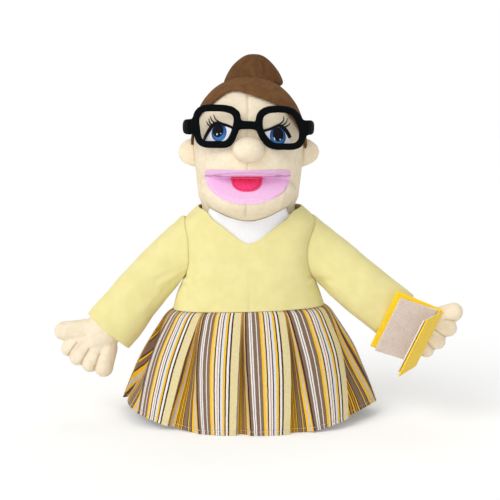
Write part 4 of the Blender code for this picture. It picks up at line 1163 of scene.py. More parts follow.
@dataclass
class Head:
    """Plush head with its gaping mouth, nose and ears."""

    voxel: float = 0.0021
    ear_wider: float = 1.36
    jaw: Points3 = (      # height, width kept on the left and on the right
        (0.1990, 0.78, 0.74), (0.2045, 0.85, 0.80), (0.2105, 0.91, 0.85), (0.2190, 0.95, 0.88),
        (0.2225, 0.97, 0.93), (0.2265, 1.00, 1.00))
    swells: tuple[tuple[tuple[float, float], tuple[float, float], float], ...] = (   # middle, size, height
        ((-0.031, 0.2540), (0.014, 0.009), 0.0010), ((0.031, 0.2535), (0.014, 0.009), 0.0010),
        ((0.0, 0.2860), (0.012, 0.012), -0.0008), ((-0.044, 0.2620), (0.006, 0.014), -0.0008),
        ((0.044, 0.2620), (0.006, 0.014), -0.0008), ((0.0, 0.2055), (0.020, 0.008), 0.0006))
    nose_rim: tuple[float, float, float] = (0.0158, 0.0128, 0.2665)      # half width, half height, middle
    nose_drop: float = 0.0010
    forehead: Points2 = ((-0.0006, 0.3170), (-0.0004, 0.3045), (-0.0008, 0.2932),
                                                 (-0.0013, 0.2839), (-0.0013, 0.2774))
    lip: Points2 = ((-0.0013, 0.2555), (-0.0013, 0.2520), (-0.0013, 0.2468))
    chin: Points2 = ((-0.0021, 0.2160), (-0.0023, 0.2125), (-0.0026, 0.2085),
                                             (-0.0028, 0.2050), (-0.0029, 0.2010))

    def build(self) -> Piece:
        """Make the head with its nose and ears, and give back the head for what is sewn on it."""
        head = from_node("head", "plush_head")
        skin = tree_of(head)
        remesh(head, self.voxel, 4)
        held = np.maximum(near_gape(points_of(head), 0.006), faces_itself(head))
        inflate(head, 0.0010, held)
        held = np.maximum(near_gape(points_of(head), 0.004), held)
        lumps(head, 0.024, 0.0007, 1.0, held)
        subdivide(head)
        snap_to(head, skin, near_gape(points_of(head), 0.0035))
        set_points(head, self.narrow_jaw(points_of(head)))
        self.model_face(head)
        self.sew(head)
        dress(head, "cream_plush", replaces=("head",))
        self.build_nose(head)
        for name in ("ear_left", "ear_right"):
            self.build_ear(name)
        return head

    def narrow_jaw(self, places: np.ndarray) -> np.ndarray:
        """Places with the underside of the jaw drawn in to a rounder chin, a little more on the right."""
        front = ease((-0.018 - places[:, 1]) / 0.016) * ease((0.2265 - places[:, 2]) / 0.006)
        ring = np.hypot(places[:, 0] / 0.048, np.maximum(0.2225 - places[:, 2], 0.0) / 0.0255)
        weight = front * ease((ring - 0.62) / 0.36)
        heights = [row[0] for row in self.jaw]
        left, right = (np.interp(places[:, 2], heights, [row[k] for row in self.jaw]) for k in (1, 2))
        share = np.where(places[:, 0] < 0.0, left, right)
        found = places.copy()
        found[:, 0] *= 1.0 - weight * (1.0 - share)
        return found

    def model_face(self, head: Piece) -> None:
        """Hollows beside the bridge of the nose and soft cheeks."""
        places = points_of(head)
        front = np.clip((-0.020 - places[:, 1]) / 0.020, 0.0, 1.0) * (1.0 - near_gape(places, 0.004))
        push = np.zeros(len(places))
        for centre, size, depth in self.swells:
            away = ((places[:, 0] - centre[0]) / size[0]) ** 2 + ((places[:, 2] - centre[1]) / size[1]) ** 2
            push += depth * np.exp(-away)
        places[:, 1] -= push * front
        set_points(head, places)

    def sew(self, head: Piece) -> None:
        """Middle seams of forehead, lip and chin, with painted shade in their grooves."""
        tree = tree_of(head)
        for marks, depth in ((self.forehead, 0.0014), (self.lip, 0.0010), (self.chin, 0.0013)):
            press_seam(head, front_line(tree, curve_through(marks, 6)), 0.0013, depth, 0.35, pucker=0.00025)

    def build_nose(self, head: Piece) -> None:
        """Stuffed ball in the middle of the face."""
        nose = from_node("nose", "plush_nose")
        remesh(nose, 0.0014, 3)
        set_points(nose, points_of(nose) + np.array([0.0, 0.0, -self.nose_drop]))
        inflate(nose, 0.0008)
        lumps(nose, 0.010, 0.0004, 2.0)
        subdivide(nose)
        dress(nose, "cream_plush", replaces=("nose",))
        places = points_of(head)
        half_width, half_height, middle = self.nose_rim
        ring = front_line(tree_of(head), [(half_width * math.cos(a), middle + half_height * math.sin(a))
                                          for a in np.linspace(0.0, 2.0 * math.pi, 33)])
        away = distance_to(places, ring)
        places[:, 1] += 0.0010 * np.exp(-(away / 0.0030) ** 2) * (places[:, 1] < -0.03)
        set_points(head, places)

    def build_ear(self, name: str) -> None:
        """Flat stuffed disc with a shallow hollow in front."""
        ear = from_node(name, "plush_" + name)
        places = points_of(ear)
        outer = np.abs(places[:, 0]).max()
        places[:, 0] = np.copysign(outer - (outer - np.abs(places[:, 0])) * self.ear_wider, places[:, 0])
        set_points(ear, places)
        remesh(ear, 0.0014, 3)
        inflate(ear, 0.0008)
        lumps(ear, 0.010, 0.0004, 4.0)
        subdivide(ear)
        places = points_of(ear)
        middle = places.mean(axis=0)
        away = np.hypot(places[:, 0] - middle[0], places[:, 2] - middle[2])
        places[:, 1] += np.where(places[:, 1] < middle[1], 0.0012 * np.exp(-(away / 0.006) ** 2), 0.0)
        set_points(ear, places)
        dress(ear, "cream_plush", replaces=(name,))


@dataclass
class Mouth:
    """Pink lining folded at the crease, its cloth turned over both lips, and the felt tongue on it."""

    lip_middle: float = -0.0007
    lip_half: float = 0.0406
    crease_z: float = 0.2402
    crease_rise: float = 0.0005          # of the crease towards the corners
    lip_height: float = 0.0063
    lip_drop: float = 0.0257
    lip_powers: tuple[float, float] = (8.0, 2.1)
    lip_wall: float = 0.0005
    lip_lift: float = 0.0003
    crease_width: float = 0.0024
    upper_shade: float = 0.22
    tongue_middle: float = -0.0016
    tongue_half: float = 0.0146
    tongue_top: float = 0.2399
    tongue_sides: float = 0.0042
    tongue_round: float = 0.0100
    tongue_power: float = 2.2
    tongue_wall: float = 0.0013
    stitch_inset: float = 0.0021

    def build(self, head: Piece) -> None:
        """Make lining, turned lips and tongue."""
        lining = from_node("mouth_lining", "mouth_cloth")
        remesh(lining, 0.0009, 2)
        places = points_of(lining)
        y, z = places[:, 1] - MOUTH_CREASE[0], places[:, 2] - MOUTH_CREASE[1]
        below = -y * math.sin(MOUTH_DROP) + z * math.cos(MOUTH_DROP)
        run = -y * math.cos(MOUTH_DROP) - z * math.sin(MOUTH_DROP)
        swell = 0.0009 * np.clip(1.0 - (places[:, 0] / 0.040) ** 2, 0.0, 1.0) * np.clip(
            np.sin(np.clip(run / 0.030, 0.0, 1.0) * math.pi), 0.0, 1.0)
        swell *= (below > 0.0012) & (below < 0.004)
        up = np.array([0.0, -math.sin(MOUTH_DROP), math.cos(MOUTH_DROP)])
        set_points(lining, places + swell[:, None] * up)
        dress(lining, "pink_felt", replaces=("mouth_lining",))
        lips = self.turn_lips(tree_of(head), tree_of(lining))
        self.lay_tongue(tree_of(head), tree_of(lining), *(tree_of(lip) for lip in lips))

    def turn_lips(self, *skins: BVHTree) -> list[Piece]:
        """Cloth turned over the lips' edges and sewn on the face, above and below the crease."""
        lips = []
        turns = np.sin(np.linspace(-math.pi / 2.0, math.pi / 2.0, 161))
        crease = [self.on_lip(turn, 0.0, 1.0) for turn in turns]
        for name, reach, power, rows in (("upper_lip_cloth", self.lip_height, self.lip_powers[0], 14),
                                         ("lower_lip_cloth", -self.lip_drop, self.lip_powers[1], 52)):
            edge = [self.on_lip(turn, reach, power) for turn in turns]
            low, top = (crease, edge) if reach > 0.0 else (edge, crease)
            grid = [[self.first_hit(skins, a.lerp(b, k / rows)) for a, b in zip(low, top)] for k in range(rows + 1)]
            lip = self.lay_cloth(name, grid, 6, self.lip_wall)
            tree = tree_of(lip)
            fold = [tree.find_nearest(self.first_hit(skins, mark))[0] for mark in crease[::3]]
            # painted shade along the crease's fold
            press_seam(lip, fold, self.crease_width, 0.0, 0.9)
            # painted shade over the whole upper lip
            if name.startswith("upper"):
                put_mark(lip, SEAM_AND_SHADE, np.full(len(lip.data.vertices), self.upper_shade))
            lips.append(dress(lip, "pink_felt", sharp_deg=60.0))
        return lips

    @staticmethod
    def lay_cloth(name: str, grid: Sequence[Sequence[Vector]], times: int, wall: float) -> Piece:
        """Cloth through rows of points on the face, relaxed and given its wall outwards."""
        cloth = grid_piece(name, grid)
        relax(cloth, times)
        merge_doubles(cloth)
        thicken(cloth, wall, 1.0)
        return cloth

    def on_lip(self, turn: float, reach: float, power: float) -> Vector:
        """Mark (across, up) on a lip's sewn edge, or on the crease where it has no reach."""
        rise = self.crease_rise * turn ** 2 + reach * (1.0 - min(abs(turn), 1.0) ** power) ** (1.0 / power)
        return Vector((self.lip_middle + self.lip_half * turn, self.crease_z + rise))

    def first_hit(self, skins: Sequence[BVHTree], mark: Vector) -> Vector:
        """Nearest point behind a mark on any of the skins, a little in front of it."""
        start = Vector((mark.x, IN_FRONT, mark.y))
        hits = [hit for hit in (skin.ray_cast(start, BACKWARDS) for skin in skins) if hit[0] is not None]
        return min(hits, key=lambda found: found[3])[0] - BACKWARDS * self.lip_lift

    def lay_tongue(self, *skins: BVHTree) -> None:
        """Felt tongue from the crease down over the lower lip, with its stitched round edge."""
        turns = np.sin(np.linspace(-math.pi / 2.0, math.pi / 2.0, 81))
        grid = [[self.first_hit(skins, self.on_tongue(turn, (1.0 - k / 34.0), 0.0)) for turn in turns]
                for k in range(35)]
        tongue = self.lay_cloth("felt_tongue", grid, 4, self.tongue_wall)
        stitches = [self.on_tongue(turn, 1.0, self.stitch_inset) for turn in np.linspace(-1.0, 1.0, 33)]
        stitches += [self.on_tongue(side, share, self.stitch_inset)
                     for side in (-1.0, 1.0) for share in np.linspace(0.1, 1.0, 8)]
        # painted shade in the groove of the stitched edge
        press_seam(tongue, front_line(tree_of(tongue), stitches), 0.0007, 0.0003, 0.8)
        dress(tongue, "hot_pink_felt", replaces=("tongue",), sharp_deg=60.0)

    def on_tongue(self, turn: float, share: float, inset: float) -> Vector:
        """Mark (across, up) on the tongue, at a share of the way from the crease down to its edge."""
        reach = (1.0 - min(abs(turn), 1.0) ** self.tongue_power) ** (1.0 / self.tongue_power)
        return Vector((self.tongue_middle + (self.tongue_half - inset) * turn,
                       self.tongue_top - share * (self.tongue_sides + (self.tongue_round - inset) * reach)))


@dataclass
class Hair:
    """Brown plush cap over the skull and the knot on the crown."""

    side_foot: float = 0.276
    side_turn_deg: float = 20.0
    temple_turn_deg: float = 9.0
    knot_shade: float = 0.34
    knot_y: float = 0.0084
    knot_depth: float = 0.88
    profile: Points3 = (      # height, half width, middle of the knot
        (0.3240, 0.0001, 0.0050), (0.3245, 0.0200, 0.0050), (0.3290, 0.0296, 0.0048), (0.3340, 0.0290, 0.0050),
        (0.3420, 0.0252, 0.0052), (0.3490, 0.0196, 0.0050), (0.3540, 0.0137, 0.0050), (0.3575, 0.0078, 0.0050),
        (0.3590, 0.0001, 0.0050))
    creases: tuple[Points3, ...] = (
        ((0.0150, -0.0040, 0.3500), (0.0172, -0.0090, 0.3450), (0.0178, -0.0140, 0.3390), (0.0205, -0.0160, 0.3350)),
        ((0.0020, -0.0120, 0.3430), (0.0030, -0.0160, 0.3370)),
        ((-0.0120, -0.0150, 0.3370), (-0.0150, -0.0160, 0.3330)))

    def build(self) -> None:
        """Make cap and knot."""
        cap = from_node("hair_cap", "hair_cap_plush")
        subdivide(cap, 2)
        self.draw_back(cap)
        self.draw_down(cap)
        lumps(cap, 0.020, 0.0005, 5.0)
        lumps(cap, 0.0035, 0.00022, 6.0)
        dress(cap, "brown_plush", replaces=("hair_cap",))
        bun = self.knot()
        remesh(bun, 0.0020, 4)
        inflate(bun, 0.0015)
        lumps(bun, 0.018, 0.0009, 8.0)
        subdivide(bun)
        # creases with painted shade in them
        for line, width, depth in zip(self.creases, (0.0032, 0.0028, 0.0026), (0.0026, 0.0010, 0.0009)):
            press_seam(bun, curve_through(line, 4), width, depth, 0.35)
        # painted shade over the whole knot
        put_mark(bun, SEAM_AND_SHADE, np.full(len(bun.data.vertices), self.knot_shade))
        dress(bun, "brown_plush", replaces=("hair_bun",))

    def draw_back(self, cap: Piece) -> None:
        """Draw the cap's lower sides back behind the ears."""
        places = points_of(cap)
        x, y = places[:, 0], places[:, 1] - HEAD_MIDDLE.y
        turn = np.degrees(np.arctan2(np.abs(x), -y))
        low = ease((self.side_foot - places[:, 2]) / 0.016)
        away = np.radians(self.side_turn_deg) * low * np.clip((150.0 - turn) / 60.0, 0.0, 1.0)
        reach, turn = np.hypot(x, y), np.radians(turn) + away
        places[:, 0] = np.copysign(reach * np.sin(turn), x)
        places[:, 1] = HEAD_MIDDLE.y - reach * np.cos(turn)
        set_points(cap, places)

    def draw_down(self, cap: Piece) -> None:
        """Draw the front edge down over the right temple."""
        places = points_of(cap)
        x, y, z = places.T
        near = ease((x - 0.0300) / 0.008) * ease(-y / 0.010) * ease((0.3080 - z) / 0.014)
        turn = near * math.radians(self.temple_turn_deg)
        reach, angle = np.hypot(x, y - HEAD_MIDDLE.y), np.arctan2(x, HEAD_MIDDLE.y - y) - turn
        places[:, 0], places[:, 1] = reach * np.sin(angle), HEAD_MIDDLE.y - reach * np.cos(angle)
        set_points(cap, places)

    def knot(self) -> Piece:
        """Domed knot of hair, by its profile."""
        rows = []
        for z, half, middle in self.profile:
            rows.append([Vector((middle + half * math.sin(a), self.knot_y - half * self.knot_depth * math.cos(a), z))
                         for a in (2.0 * math.pi * k / 64 for k in range(65))])
        fine = [[Vector(between(t, [(i, *row[c]) for i, row in enumerate(rows)])) for c in range(65)]
                for t in np.linspace(0.0, len(rows) - 1.0, 40)]
        return grid_piece("hair_knot", fine, wrap=True)


@dataclass
class EyeSpec:
    """One eye's outlines, as (across, above the middle of the head) in millimetres."""

    side: str
    white_top: Points2
    white_low: Points2
    lid_top: Points2
    lid_low: Points2
    iris: tuple[float, float, float, float, float]       # centre, half sizes, lean in degrees
    pupil: tuple[float, float, float, float, float]
    glints: tuple[tuple[float, float, float, float, float], ...]
    lashes: tuple[Points2, ...]


EYES = (
    EyeSpec("left",
            ((-41.0, 4.0), (-38.1, 10.2), (-33.5, 17.1), (-28.6, 20.2), (-23.3, 18.8), (-18.9, 17.5), (-13.6, 15.0)),
            ((-41.0, 4.0), (-38.6, 1.4), (-30.0, 1.4), (-21.5, 3.4), (-15.6, 9.5), (-13.6, 15.0)),
            ((-42.0, 5.2), (-39.3, 11.4), (-34.4, 18.5), (-28.6, 21.6), (-23.0, 20.2), (-18.6, 18.8), (-13.6, 16.4)),
            ((-40.6, 3.6), (-37.0, 9.6), (-32.5, 16.0), (-28.4, 18.8), (-23.6, 17.6), (-19.2, 16.4), (-14.4, 14.3)),
            (-27.3, 11.2, 6.9, 8.2, 18.0), (-27.9, 12.9, 4.8, 5.9, 16.0),
            ((-28.8, 9.8, 0.6, 0.8, 0.0), (-25.4, 10.4, 0.35, 0.45, 0.0)),
            (((-35.0, 16.6), (-38.3, 19.2), (-39.7, 21.9)), ((-33.7, 18.0), (-36.6, 20.8), (-37.5, 24.4)),
             ((-31.2, 19.8), (-34.4, 22.9), (-36.2, 26.7)), ((-27.2, 21.0), (-31.2, 24.2), (-32.8, 28.2)))),
    EyeSpec("right",
            ((12.4, 12.4), (18.9, 14.2), (25.0, 16.6), (28.4, 17.6), (33.2, 15.0), (36.2, 10.9), (38.6, 6.6),
             (39.8, 3.0)),
            ((12.4, 12.4), (14.8, 7.6), (20.5, 2.2), (30.0, -0.8), (37.0, -0.2), (39.8, 3.0)),
            ((11.9, 13.4), (18.6, 15.3), (24.8, 18.0), (28.4, 19.2), (33.8, 16.4), (37.4, 12.0), (39.8, 7.4)),
            ((12.8, 11.4), (19.2, 12.9), (25.2, 15.2), (28.2, 16.2), (32.2, 13.6), (35.0, 9.8), (37.4, 5.6)),
            (27.3, 7.8, 7.4, 8.6, -18.0), (27.4, 9.4, 4.9, 6.4, -14.0),
            ((23.9, 5.4, 0.35, 1.7, -18.0), (29.2, 4.8, 0.5, 0.75, 0.0)),
            (((28.4, 18.6), (32.8, 22.2), (33.4, 26.6)), ((31.2, 17.6), (35.5, 20.8), (36.9, 24.6)),
             ((33.6, 16.2), (37.9, 18.4), (39.6, 20.9)))),
)


@dataclass
class Eyes:
    """Embroidered fields on the face, one on another."""

    thread: float = 0.00045
    step: float = 0.00030
    lash_radius: float = 0.00092

    def build(self, head: Piece) -> None:
        """Make both eyes on the head's skin."""
        skin = tree_of(head)
        for eye in EYES:
            self.field(skin, "eye_field_" + eye.side, eye.white_top, eye.white_low, 1, "white_thread",
                       "eye_white_" + eye.side)
            self.oval(skin, "iris_field_" + eye.side, eye.iris, 2, "blue_thread", "iris_" + eye.side)
            self.oval(skin, "pupil_field_" + eye.side, eye.pupil, 3, "black_thread", "pupil_" + eye.side)
            for k, glint in enumerate(eye.glints):
                self.oval(skin, f"glint_{eye.side}_{k + 1}", glint, 4, "white_thread", None)
            self.field(skin, "lid_field_" + eye.side, eye.lid_top, eye.lid_low, 4, "black_thread",
                       "lash_line_" + eye.side)
            for k, lash in enumerate(eye.lashes):
                self.lash(skin, f"lash_{eye.side}_{k + 1}", lash)

    def on_skin(self, skin: BVHTree, across: float, above: float, level: float) -> Vector:
        """Point over the face, given in millimetres from the middle of the head."""
        spot = Vector((across * MILLIMETRE, IN_FRONT, HEAD_MIDDLE.z + above * MILLIMETRE))
        hit = skin.ray_cast(spot, BACKWARDS)
        return hit[0] + hit[1] * level

    def lay(self, name: str, skin: BVHTree, rows: Sequence[Sequence[tuple[float, float]]], layer: int, finish: str,
            node: str | None) -> None:
        """Lay a field of thread on the skin through rows of marks."""
        level = layer * self.step
        points = [[self.on_skin(skin, x, z, level) for x, z in row] for row in rows]
        flat = [mark for row in rows for mark in row]
        low = [min(mark[k] for mark in flat) for k in (0, 1)]
        high = [max(mark[k] for mark in flat) for k in (0, 1)]
        piece = grid_piece(name, points)
        layer_map = piece.data.uv_layers[0]
        layer_map.name = "field"
        places = points_of(piece)
        for loop in piece.data.loops:
            spot = places[loop.vertex_index]
            across, above = spot[0] / MILLIMETRE, (spot[2] - HEAD_MIDDLE.z) / MILLIMETRE
            layer_map.data[loop.index].uv = (2.0 * (across - low[0]) / (high[0] - low[0]) - 1.0,
                                             2.0 * (above - low[1]) / (high[1] - low[1]) - 1.0)
        merge_doubles(piece)
        thicken(piece, self.thread, 1.0)
        dress(piece, finish, replaces=(node,) if node else (), sharp_deg=60.0)

    def field(self, skin: BVHTree, name: str, top: Sequence[tuple[float, float]], low: Sequence[tuple[float, float]],
              layer: int, finish: str, node: str | None) -> None:
        """Field between an upper and a lower edge."""
        upper = resample(curve_through(top, 10), 41)
        lower = resample(curve_through(low, 10), 41)
        rows = [[tuple(a.lerp(b, k / 8)) for a, b in zip(lower, upper)] for k in range(9)]
        self.lay(name, skin, rows, layer, finish, node)

    def oval(self, skin: BVHTree, name: str, spec: Sequence[float], layer: int, finish: str, node: str | None) -> None:
        """Round field with a lean."""
        across, above, half_width, half_height, lean = spec
        turn = math.radians(lean)
        rows = []
        count = 16
        for r in range(count + 1):
            row = []
            for c in range(count + 1):
                u, v = 2.0 * c / count - 1.0, 2.0 * r / count - 1.0
                x, z = u * math.sqrt(1.0 - v * v / 2.0), v * math.sqrt(1.0 - u * u / 2.0)
                x, z = x * half_width, z * half_height
                row.append((across + x * math.cos(turn) + z * math.sin(turn),
                            above - x * math.sin(turn) + z * math.cos(turn)))
            rows.append(row)
        self.lay(name, skin, rows, layer, finish, node)

    def lash(self, skin: BVHTree, name: str, marks: Sequence[tuple[float, float]]) -> None:
        """Tapered thread from the lid outwards."""
        line = resample(curve_through(marks, 8), 16)
        curve = bpy.data.curves.new(name, "CURVE")
        curve.dimensions = "3D"
        curve.bevel_depth = self.lash_radius
        curve.bevel_resolution = 2
        curve.use_fill_caps = True
        spline = curve.splines.new("POLY")
        spline.points.add(len(line) - 1)
        for k, (mark, point) in enumerate(zip(line, spline.points)):
            point.co = (*self.on_skin(skin, mark.x, mark.y, self.thread * 0.8), 1.0)
            point.radius = mix(1.0, 0.35, k / (len(line) - 1))
        pick(add_object(name, curve))
        bpy.ops.object.convert(target="MESH")
        dress(bpy.context.object, "black_thread")


@dataclass
class Glasses:
    """Padded black cloth frame."""

    voxel: float = 0.0012
    bridge_x: float = -0.0022
    bridge_z: float = 0.2874

    def build(self) -> None:
        """Make the frame."""
        frame = from_node("glasses_frame", "padded_glasses")
        remesh(frame, self.voxel, 6)
        places = points_of(frame)
        bridge = 1.0 - ease((np.abs(places[:, 0] - self.bridge_x) - 0.004) / 0.006)
        places[:, 2] += bridge * (0.0007 + 0.0008 * ease((places[:, 2] - self.bridge_z) / 0.002))
        set_points(frame, places)
        inflate(frame, 0.0004)
        lumps(frame, 0.012, 0.0003, 9.0)
        subdivide(frame)
        dress(frame, "black_cloth", replaces=("glasses_frame",))


# Arms and hands

@dataclass
class Arm:
    """One stuffed sleeve with its hand."""

    side: str
    balls: tuple[tuple[tuple[float, ...], ...], ...]     # palm, thumb and fingers, in millimetres
    grooves: tuple[Points2, ...]
    folds: tuple[Points3, ...]
    shorter: float = 0.0                                 # how much the cuff is drawn back
    shoulder_rise: float = 0.0052
    contact_shade: tuple[float, float] = (0.0007, 0.6)         # width and darkness of the painted shade along the armhole
    clear_of: tuple[tuple[Vector, Vector], ...] = ()     # planes that the hand stays behind, as (way out, normal)
    voxel: float = 0.0022

    def build(self, top: Piece) -> None:
        """Make sleeve and hand."""
        sleeve = from_node("sleeve_" + self.side, "jersey_sleeve_" + self.side)
        remesh(sleeve, self.voxel, 3)
        held = faces_itself(sleeve, 0.030)
        inflate(sleeve, 0.0010, held)
        lumps(sleeve, 0.022, 0.0009, 11.0 if self.side == "left" else 12.0, held)
        subdivide(sleeve)
        self.raise_shoulder(sleeve)
        if self.shorter:
            self.draw_cuff(sleeve)
        for fold in self.folds:
            press_seam(sleeve, curve_through(fold, 5), 0.0040, 0.0010, 0.0)
        # painted shade where the sleeve and the top meet
        paint_contact_shade(sleeve, tree_of(top), *self.contact_shade)
        paint_contact_shade(top, tree_of(sleeve), *self.contact_shade)
        dress(sleeve, "yellow_jersey", replaces=("sleeve_" + self.side,))
        self.build_hand()

    def raise_shoulder(self, sleeve: Piece) -> None:
        """Fill the sleeve's head, so that its upper edge runs straight out of the shoulder."""
        places, normals = points_of(sleeve), normals_of(sleeve)
        out = np.abs(places[:, 0])
        bump = ease((0.0780 - out) / 0.014) * ease((out - 0.056) / 0.008) * ease(normals[:, 2] / 0.7)
        places[:, 2] += self.shoulder_rise * bump
        set_points(sleeve, places)

    def draw_cuff(self, sleeve: Piece) -> None:
        """Draw the cuff back along the arm."""
        places = points_of(sleeve)
        along = np.array([0.770 if self.side == "right" else -0.770, 0.0, -0.638])
        run = places @ along
        share = np.clip((run - run.max() + 0.055) / 0.055, 0.0, 1.0)
        set_points(sleeve, places - np.outer(self.shorter * share, along))

    def build_hand(self) -> None:
        """Make the hand with its thumb and four fingers."""
        hand = rounded_chains("plush_hand_" + self.side, self.balls, 0.0014)
        inflate(hand, 0.0006)
        lumps(hand, 0.012, 0.0004, 13.0)
        subdivide(hand)
        places = points_of(hand)
        for way, normal in self.clear_of:
            offset = places - np.array(HINGE)
            over = offset @ np.array(way) > -0.001
            out = offset @ np.array(normal) + 0.0012
            places -= np.outer(np.where(over, np.maximum(out, 0.0), 0.0), np.array(normal))
        set_points(hand, places)
        # grooves between the fingers, with painted shade in them
        for groove in self.grooves:
            line = front_line(tree_of(hand), [(x * MILLIMETRE, z * MILLIMETRE) for x, z in curve_through(groove, 6)])
            if len(line) > 1:
                press_seam(hand, line, 0.0011, 0.0012, 0.75)
        dress(hand, "cream_plush", replaces=("hand_" + self.side,))


OPEN_DEG, FLAT_DEG = 64.3, 113.7                         # the book's opening at rest, and from there to lying flat
HINGE = Vector((0.17396, -0.0360, 0.08241))
HINGE_AXIS = Vector((0.373172, -0.250115, 0.893412))
BACK_WAY = Vector((-0.923, -0.008, 0.384))               # from the spine across the back cover
BACK_NORMAL = BACK_WAY.cross(HINGE_AXIS).normalized()
BACK_NORMAL = BACK_NORMAL if BACK_NORMAL.y < 0.0 else -BACK_NORMAL
OPEN_TURN = Matrix.Rotation(math.radians(OPEN_DEG + FLAT_DEG), 3, HINGE_AXIS)
OPEN_WAY = OPEN_TURN @ BACK_WAY
OPEN_NORMAL = OPEN_TURN @ -BACK_NORMAL
OPEN_NORMAL = OPEN_NORMAL if OPEN_NORMAL.y < 0.0 else -OPEN_NORMAL

ARMS = (
    Arm("left",
        (((-152.0, -5.0, 80.0, 17.0, 12.5), (-145.0, -5.0, 84.5, 19.5, 12.8), (-138.0, -5.0, 91.5, 19.0, 11.8)),
         ((-158.0, -6.0, 85.5, 11.5, 10.0), (-185.0, -7.0, 84.1, 9.8, 9.0)),
         ((-161.0, -6.0, 80.0, 9.5, 9.0), (-180.1, -6.5, 66.1, 8.6, 8.4)),
         ((-156.5, -6.0, 74.0, 9.0, 9.0), (-171.6, -6.5, 56.6, 8.4, 8.4)),
         ((-149.0, -6.0, 69.0, 9.0, 9.0), (-159.3, -6.5, 49.6, 8.3, 8.4)),
         ((-140.5, -6.0, 66.0, 10.0, 9.0), (-145.3, -6.5, 46.1, 9.5, 8.6))),
        (((-170.5, 73.3), (-176.0, 66.0), (-181.5, 57.5)), ((-158.7, 66.5), (-164.0, 58.0), (-169.0, 48.0)),
         ((-148.5, 61.5), (-152.0, 52.0), (-155.5, 42.0))),
        (((-0.0660, -0.0190, 0.1480), (-0.0780, -0.0220, 0.1440), (-0.0900, -0.0230, 0.1360)),
         ((-0.0700, -0.0180, 0.1370), (-0.0820, -0.0200, 0.1260)))),
    Arm("right",
        (((166.5, -18.0, 92.0, 17.0, 11.5), (158.0, -17.0, 94.5, 17.5, 11.5), (149.0, -16.5, 99.5, 17.0, 11.2)),
         ((178.0, -19.0, 96.5, 11.5, 10.0), (202.6, -20.0, 104.9, 9.8, 9.0)),
         ((175.0, -19.0, 91.0, 10.0, 9.0), (197.4, -20.0, 89.2, 9.4, 8.6)),
         ((169.0, -19.0, 84.0, 9.5, 9.0), (187.0, -20.0, 75.8, 8.7, 8.4)),
         ((162.0, -19.0, 79.0, 9.5, 9.0), (176.2, -20.0, 67.3, 8.2, 8.2)),
         ((157.0, -18.0, 84.0, 9.5, 9.0), (160.0, -19.0, 68.0, 7.6, 8.0))),
        (((204.0, 96.6), (193.0, 98.5)), ((196.5, 79.5), (189.0, 84.0), (183.0, 88.5)),
         ((184.5, 67.5), (179.5, 72.0), (176.0, 76.0))),
        (((0.0660, -0.0190, 0.1500), (0.0780, -0.0220, 0.1450), (0.0900, -0.0230, 0.1380)),
         ((0.0700, -0.0180, 0.1380), (0.0820, -0.0210, 0.1290))),
        shorter=0.0085, clear_of=((BACK_WAY, BACK_NORMAL), (OPEN_WAY, OPEN_NORMAL))),
)


@dataclass
class Book:
    """Small felt book that stands open on the right hand."""

    voxel: float = 0.0008
    narrower: float = 0.065
    lower: float = 0.0045
    stand_off: float = 0.0012
    shear: float = 0.0034

    def build(self) -> None:
        """Make both covers and both leaves."""
        for node, finish, body, flat, held, under in (
                ("book_back_cover", "yellow_felt", PUPPET, (0.050, 0.064), "stretched", "plush_hand_right"),
                ("book_page_back", "page_felt", PUPPET, (0.040, 0.0584), "laid", "felt_book_back_cover"),
                ("book_front_cover", "yellow_felt", BOOK_COVER, (0.045, 0.064), "folded", "felt_book_back_cover"),
                ("book_page_front", "page_felt", BOOK_COVER, (0.040, 0.0584), "laid", "felt_book_front_cover")):
            piece = from_node(node, "felt_" + node)
            remesh(piece, self.voxel, 1)
            if node == "book_page_back":
                self.shift_leaf(piece)
            elif node == "book_page_front":
                self.lift_leaf(piece)
            self.mark_highlit_edges(piece)
            lumps(piece, 0.0025, 0.00010, 15.0)
            dress(piece, finish, body, replaces=(node,))

    def shift_leaf(self, leaf: Piece) -> None:
        """Draw the back leaf towards the spine and down past the cover's foot."""
        places = points_of(leaf)
        out = (places - np.array(HINGE)) @ np.array(BACK_WAY)
        places -= np.outer(np.maximum(out, 0.0) * self.narrower, np.array(BACK_WAY))
        along = places @ np.array(HINGE_AXIS)
        share = (along.max() - along) / (along.max() - along.min())
        drop = self.lower * (0.4 + 0.6 * share) - self.shear * (1.0 - np.clip(out / out.max(), 0.0, 1.0))
        set_points(leaf, places - np.outer(drop, np.array(HINGE_AXIS)))

    def lift_leaf(self, leaf: Piece) -> None:
        """Let the front leaf stand off its cover, wider towards the free edge."""
        places = points_of(leaf)
        turn = Matrix.Rotation(math.radians(OPEN_DEG), 3, HINGE_AXIS)
        way, normal = (np.array(turn @ v) for v in (BACK_WAY, BACK_NORMAL))
        out = np.maximum((places - np.array(HINGE)) @ way, 0.0)
        gap = self.stand_off * (out / out.max()) ** 1.4
        set_points(leaf, places + np.outer(gap, normal * self.inward(normal)))

    @staticmethod
    def inward(normal: np.ndarray) -> float:
        """Sign that turns a normal of the front leaf towards the back cover."""
        return 1.0 if normal @ np.array(BACK_WAY) > 0.0 else -1.0

    @staticmethod
    def mark_highlit_edges(piece: Piece) -> None:
        """Mark the sheet's edges, whose normals lie in the sheet, for a painted highlight."""
        places, normals = points_of(piece), normals_of(piece)
        spread = np.linalg.eigh(np.cov((places - places.mean(axis=0)).T))[1][:, 0]
        put_mark(piece, CUT_EDGE_HIGHLIGHT, ease((0.75 - np.abs(normals @ spread)) / 0.3))


